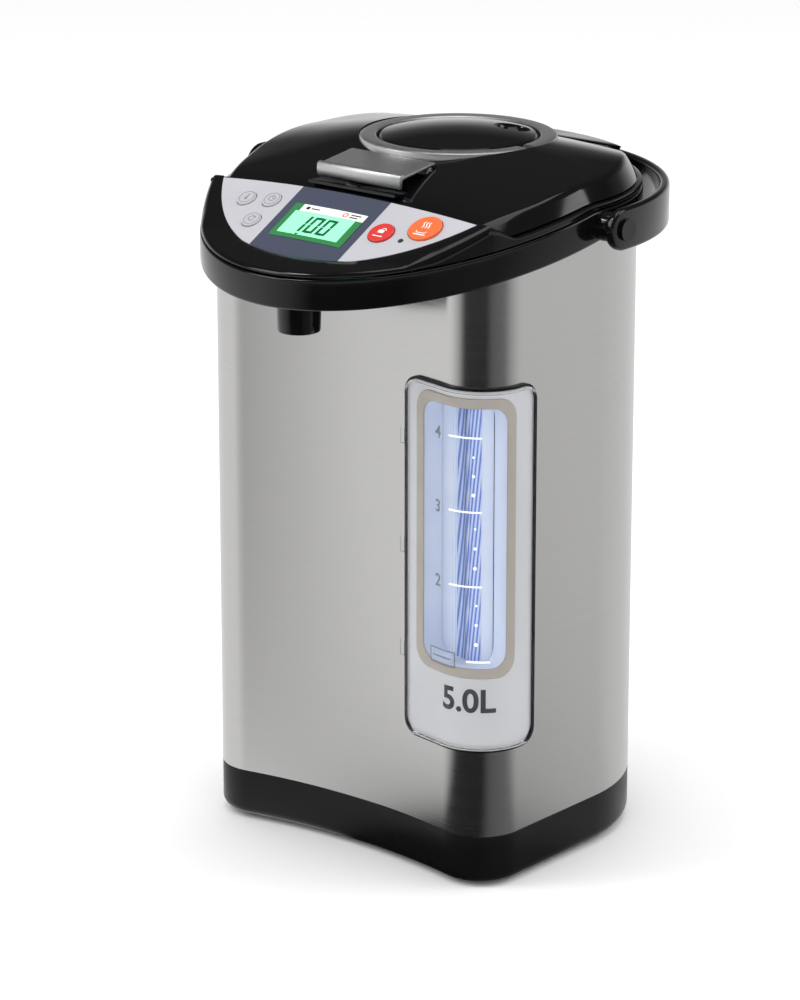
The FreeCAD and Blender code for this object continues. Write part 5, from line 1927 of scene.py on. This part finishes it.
# %% World and lights
DIFFUSE_LEVEL = 1.06
MIRROR_LEVEL = 1.0
MIRROR_STOPS = ((0.1, 0.7), (0.25, 0.17), (0.4, 0.05))
LIGHT_AIM = (0, 0, 0.18)
LAMPS = (
    ("key_left", (-1.3, -1.5, 1.5), (1.0, 1.2), 12.0),
    ("rear_right", (1.5, 1.2, 1.6), (0.9, 0.9), 9.0),
    ("top", (0.1, 0.1, 2.0), (1.2, 1.2), 8.0),
    ("front_strip", (-0.6, -0.72, 1.55), (0.34, 0.14), 2.5),
)


def studio_world():
    world = bpy.data.worlds.new("studio")
    bpy.context.scene.world = world
    world.use_nodes = True
    tree = world.node_tree
    tree.nodes.clear()
    out = tree.nodes.new("ShaderNodeOutputWorld")
    white = (1, 1, 1, 1)
    seen = add_node(tree, "ShaderNodeBackground", Color=white, Strength=1.0)
    lit = add_node(tree, "ShaderNodeBackground", Color=white, Strength=DIFFUSE_LEVEL)
    mirrored = add_node(tree, "ShaderNodeBackground", Strength=MIRROR_LEVEL)
    choose = tree.nodes.new("ShaderNodeMixShader")
    mix = tree.nodes.new("ShaderNodeMixShader")
    path = tree.nodes.new("ShaderNodeLightPath")
    place = tree.nodes.new("ShaderNodeTexCoord")
    split = tree.nodes.new("ShaderNodeSeparateXYZ")
    ramp = tree.nodes.new("ShaderNodeValToRGB")
    shade_stops(ramp, (0.0, 1.0), (0.7, 0.1), MIRROR_STOPS)
    tree.links.new(mirror_share(tree, path), choose.inputs["Fac"])
    wire(
        tree,
        (place, "Generated", split, "Vector"),
        (split, "Z", ramp, "Fac"),
        (ramp, "Color", mirrored, "Color"),
        (lit, "Background", choose, 1),
        (mirrored, "Background", choose, 2),
        (path, "Is Camera Ray", mix, "Fac"),
        (choose, "Shader", mix, 1),
        (seen, "Background", mix, 2),
        (mix, "Shader", out, "Surface"),
    )
    world.cycles.sampling_method = "NONE"
    return world


def soft_light(name, place, size, watts):
    data = bpy.data.lights.new(name, "AREA")
    data.shape = "RECTANGLE"
    data.size, data.size_y = size
    data.energy = watts
    lamp = linked(name, data)
    lamp.location = place
    lamp.rotation_euler = (Vector(LIGHT_AIM) - Vector(place)).to_track_quat("-Z", "Y").to_euler()
    return lamp


world = studio_world()
lights = [soft_light(*lamp) for lamp in LAMPS]
print("lights:", len(lights))

# %% [markdown]
# The camera stands at the right front and a little above, with a long lens, as a
# product photographer would, so that the upright sides stay nearly parallel.

# %% Camera


def studio_camera():
    data = bpy.data.cameras.new("camera")
    data.lens = CAMERA_LENS
    data.sensor_width = SENSOR
    data.sensor_fit = "AUTO"
    camera = linked("camera", data)
    camera.location = CAMERA_PLACE
    camera.rotation_euler = CAMERA_FORWARD.to_track_quat("-Z", "Y").to_euler()
    bpy.context.scene.camera = camera
    return camera


camera = studio_camera()
bpy.context.scene.view_settings.view_transform = "Standard"
print("camera lens:", round(camera.data.lens, 1), "mm")
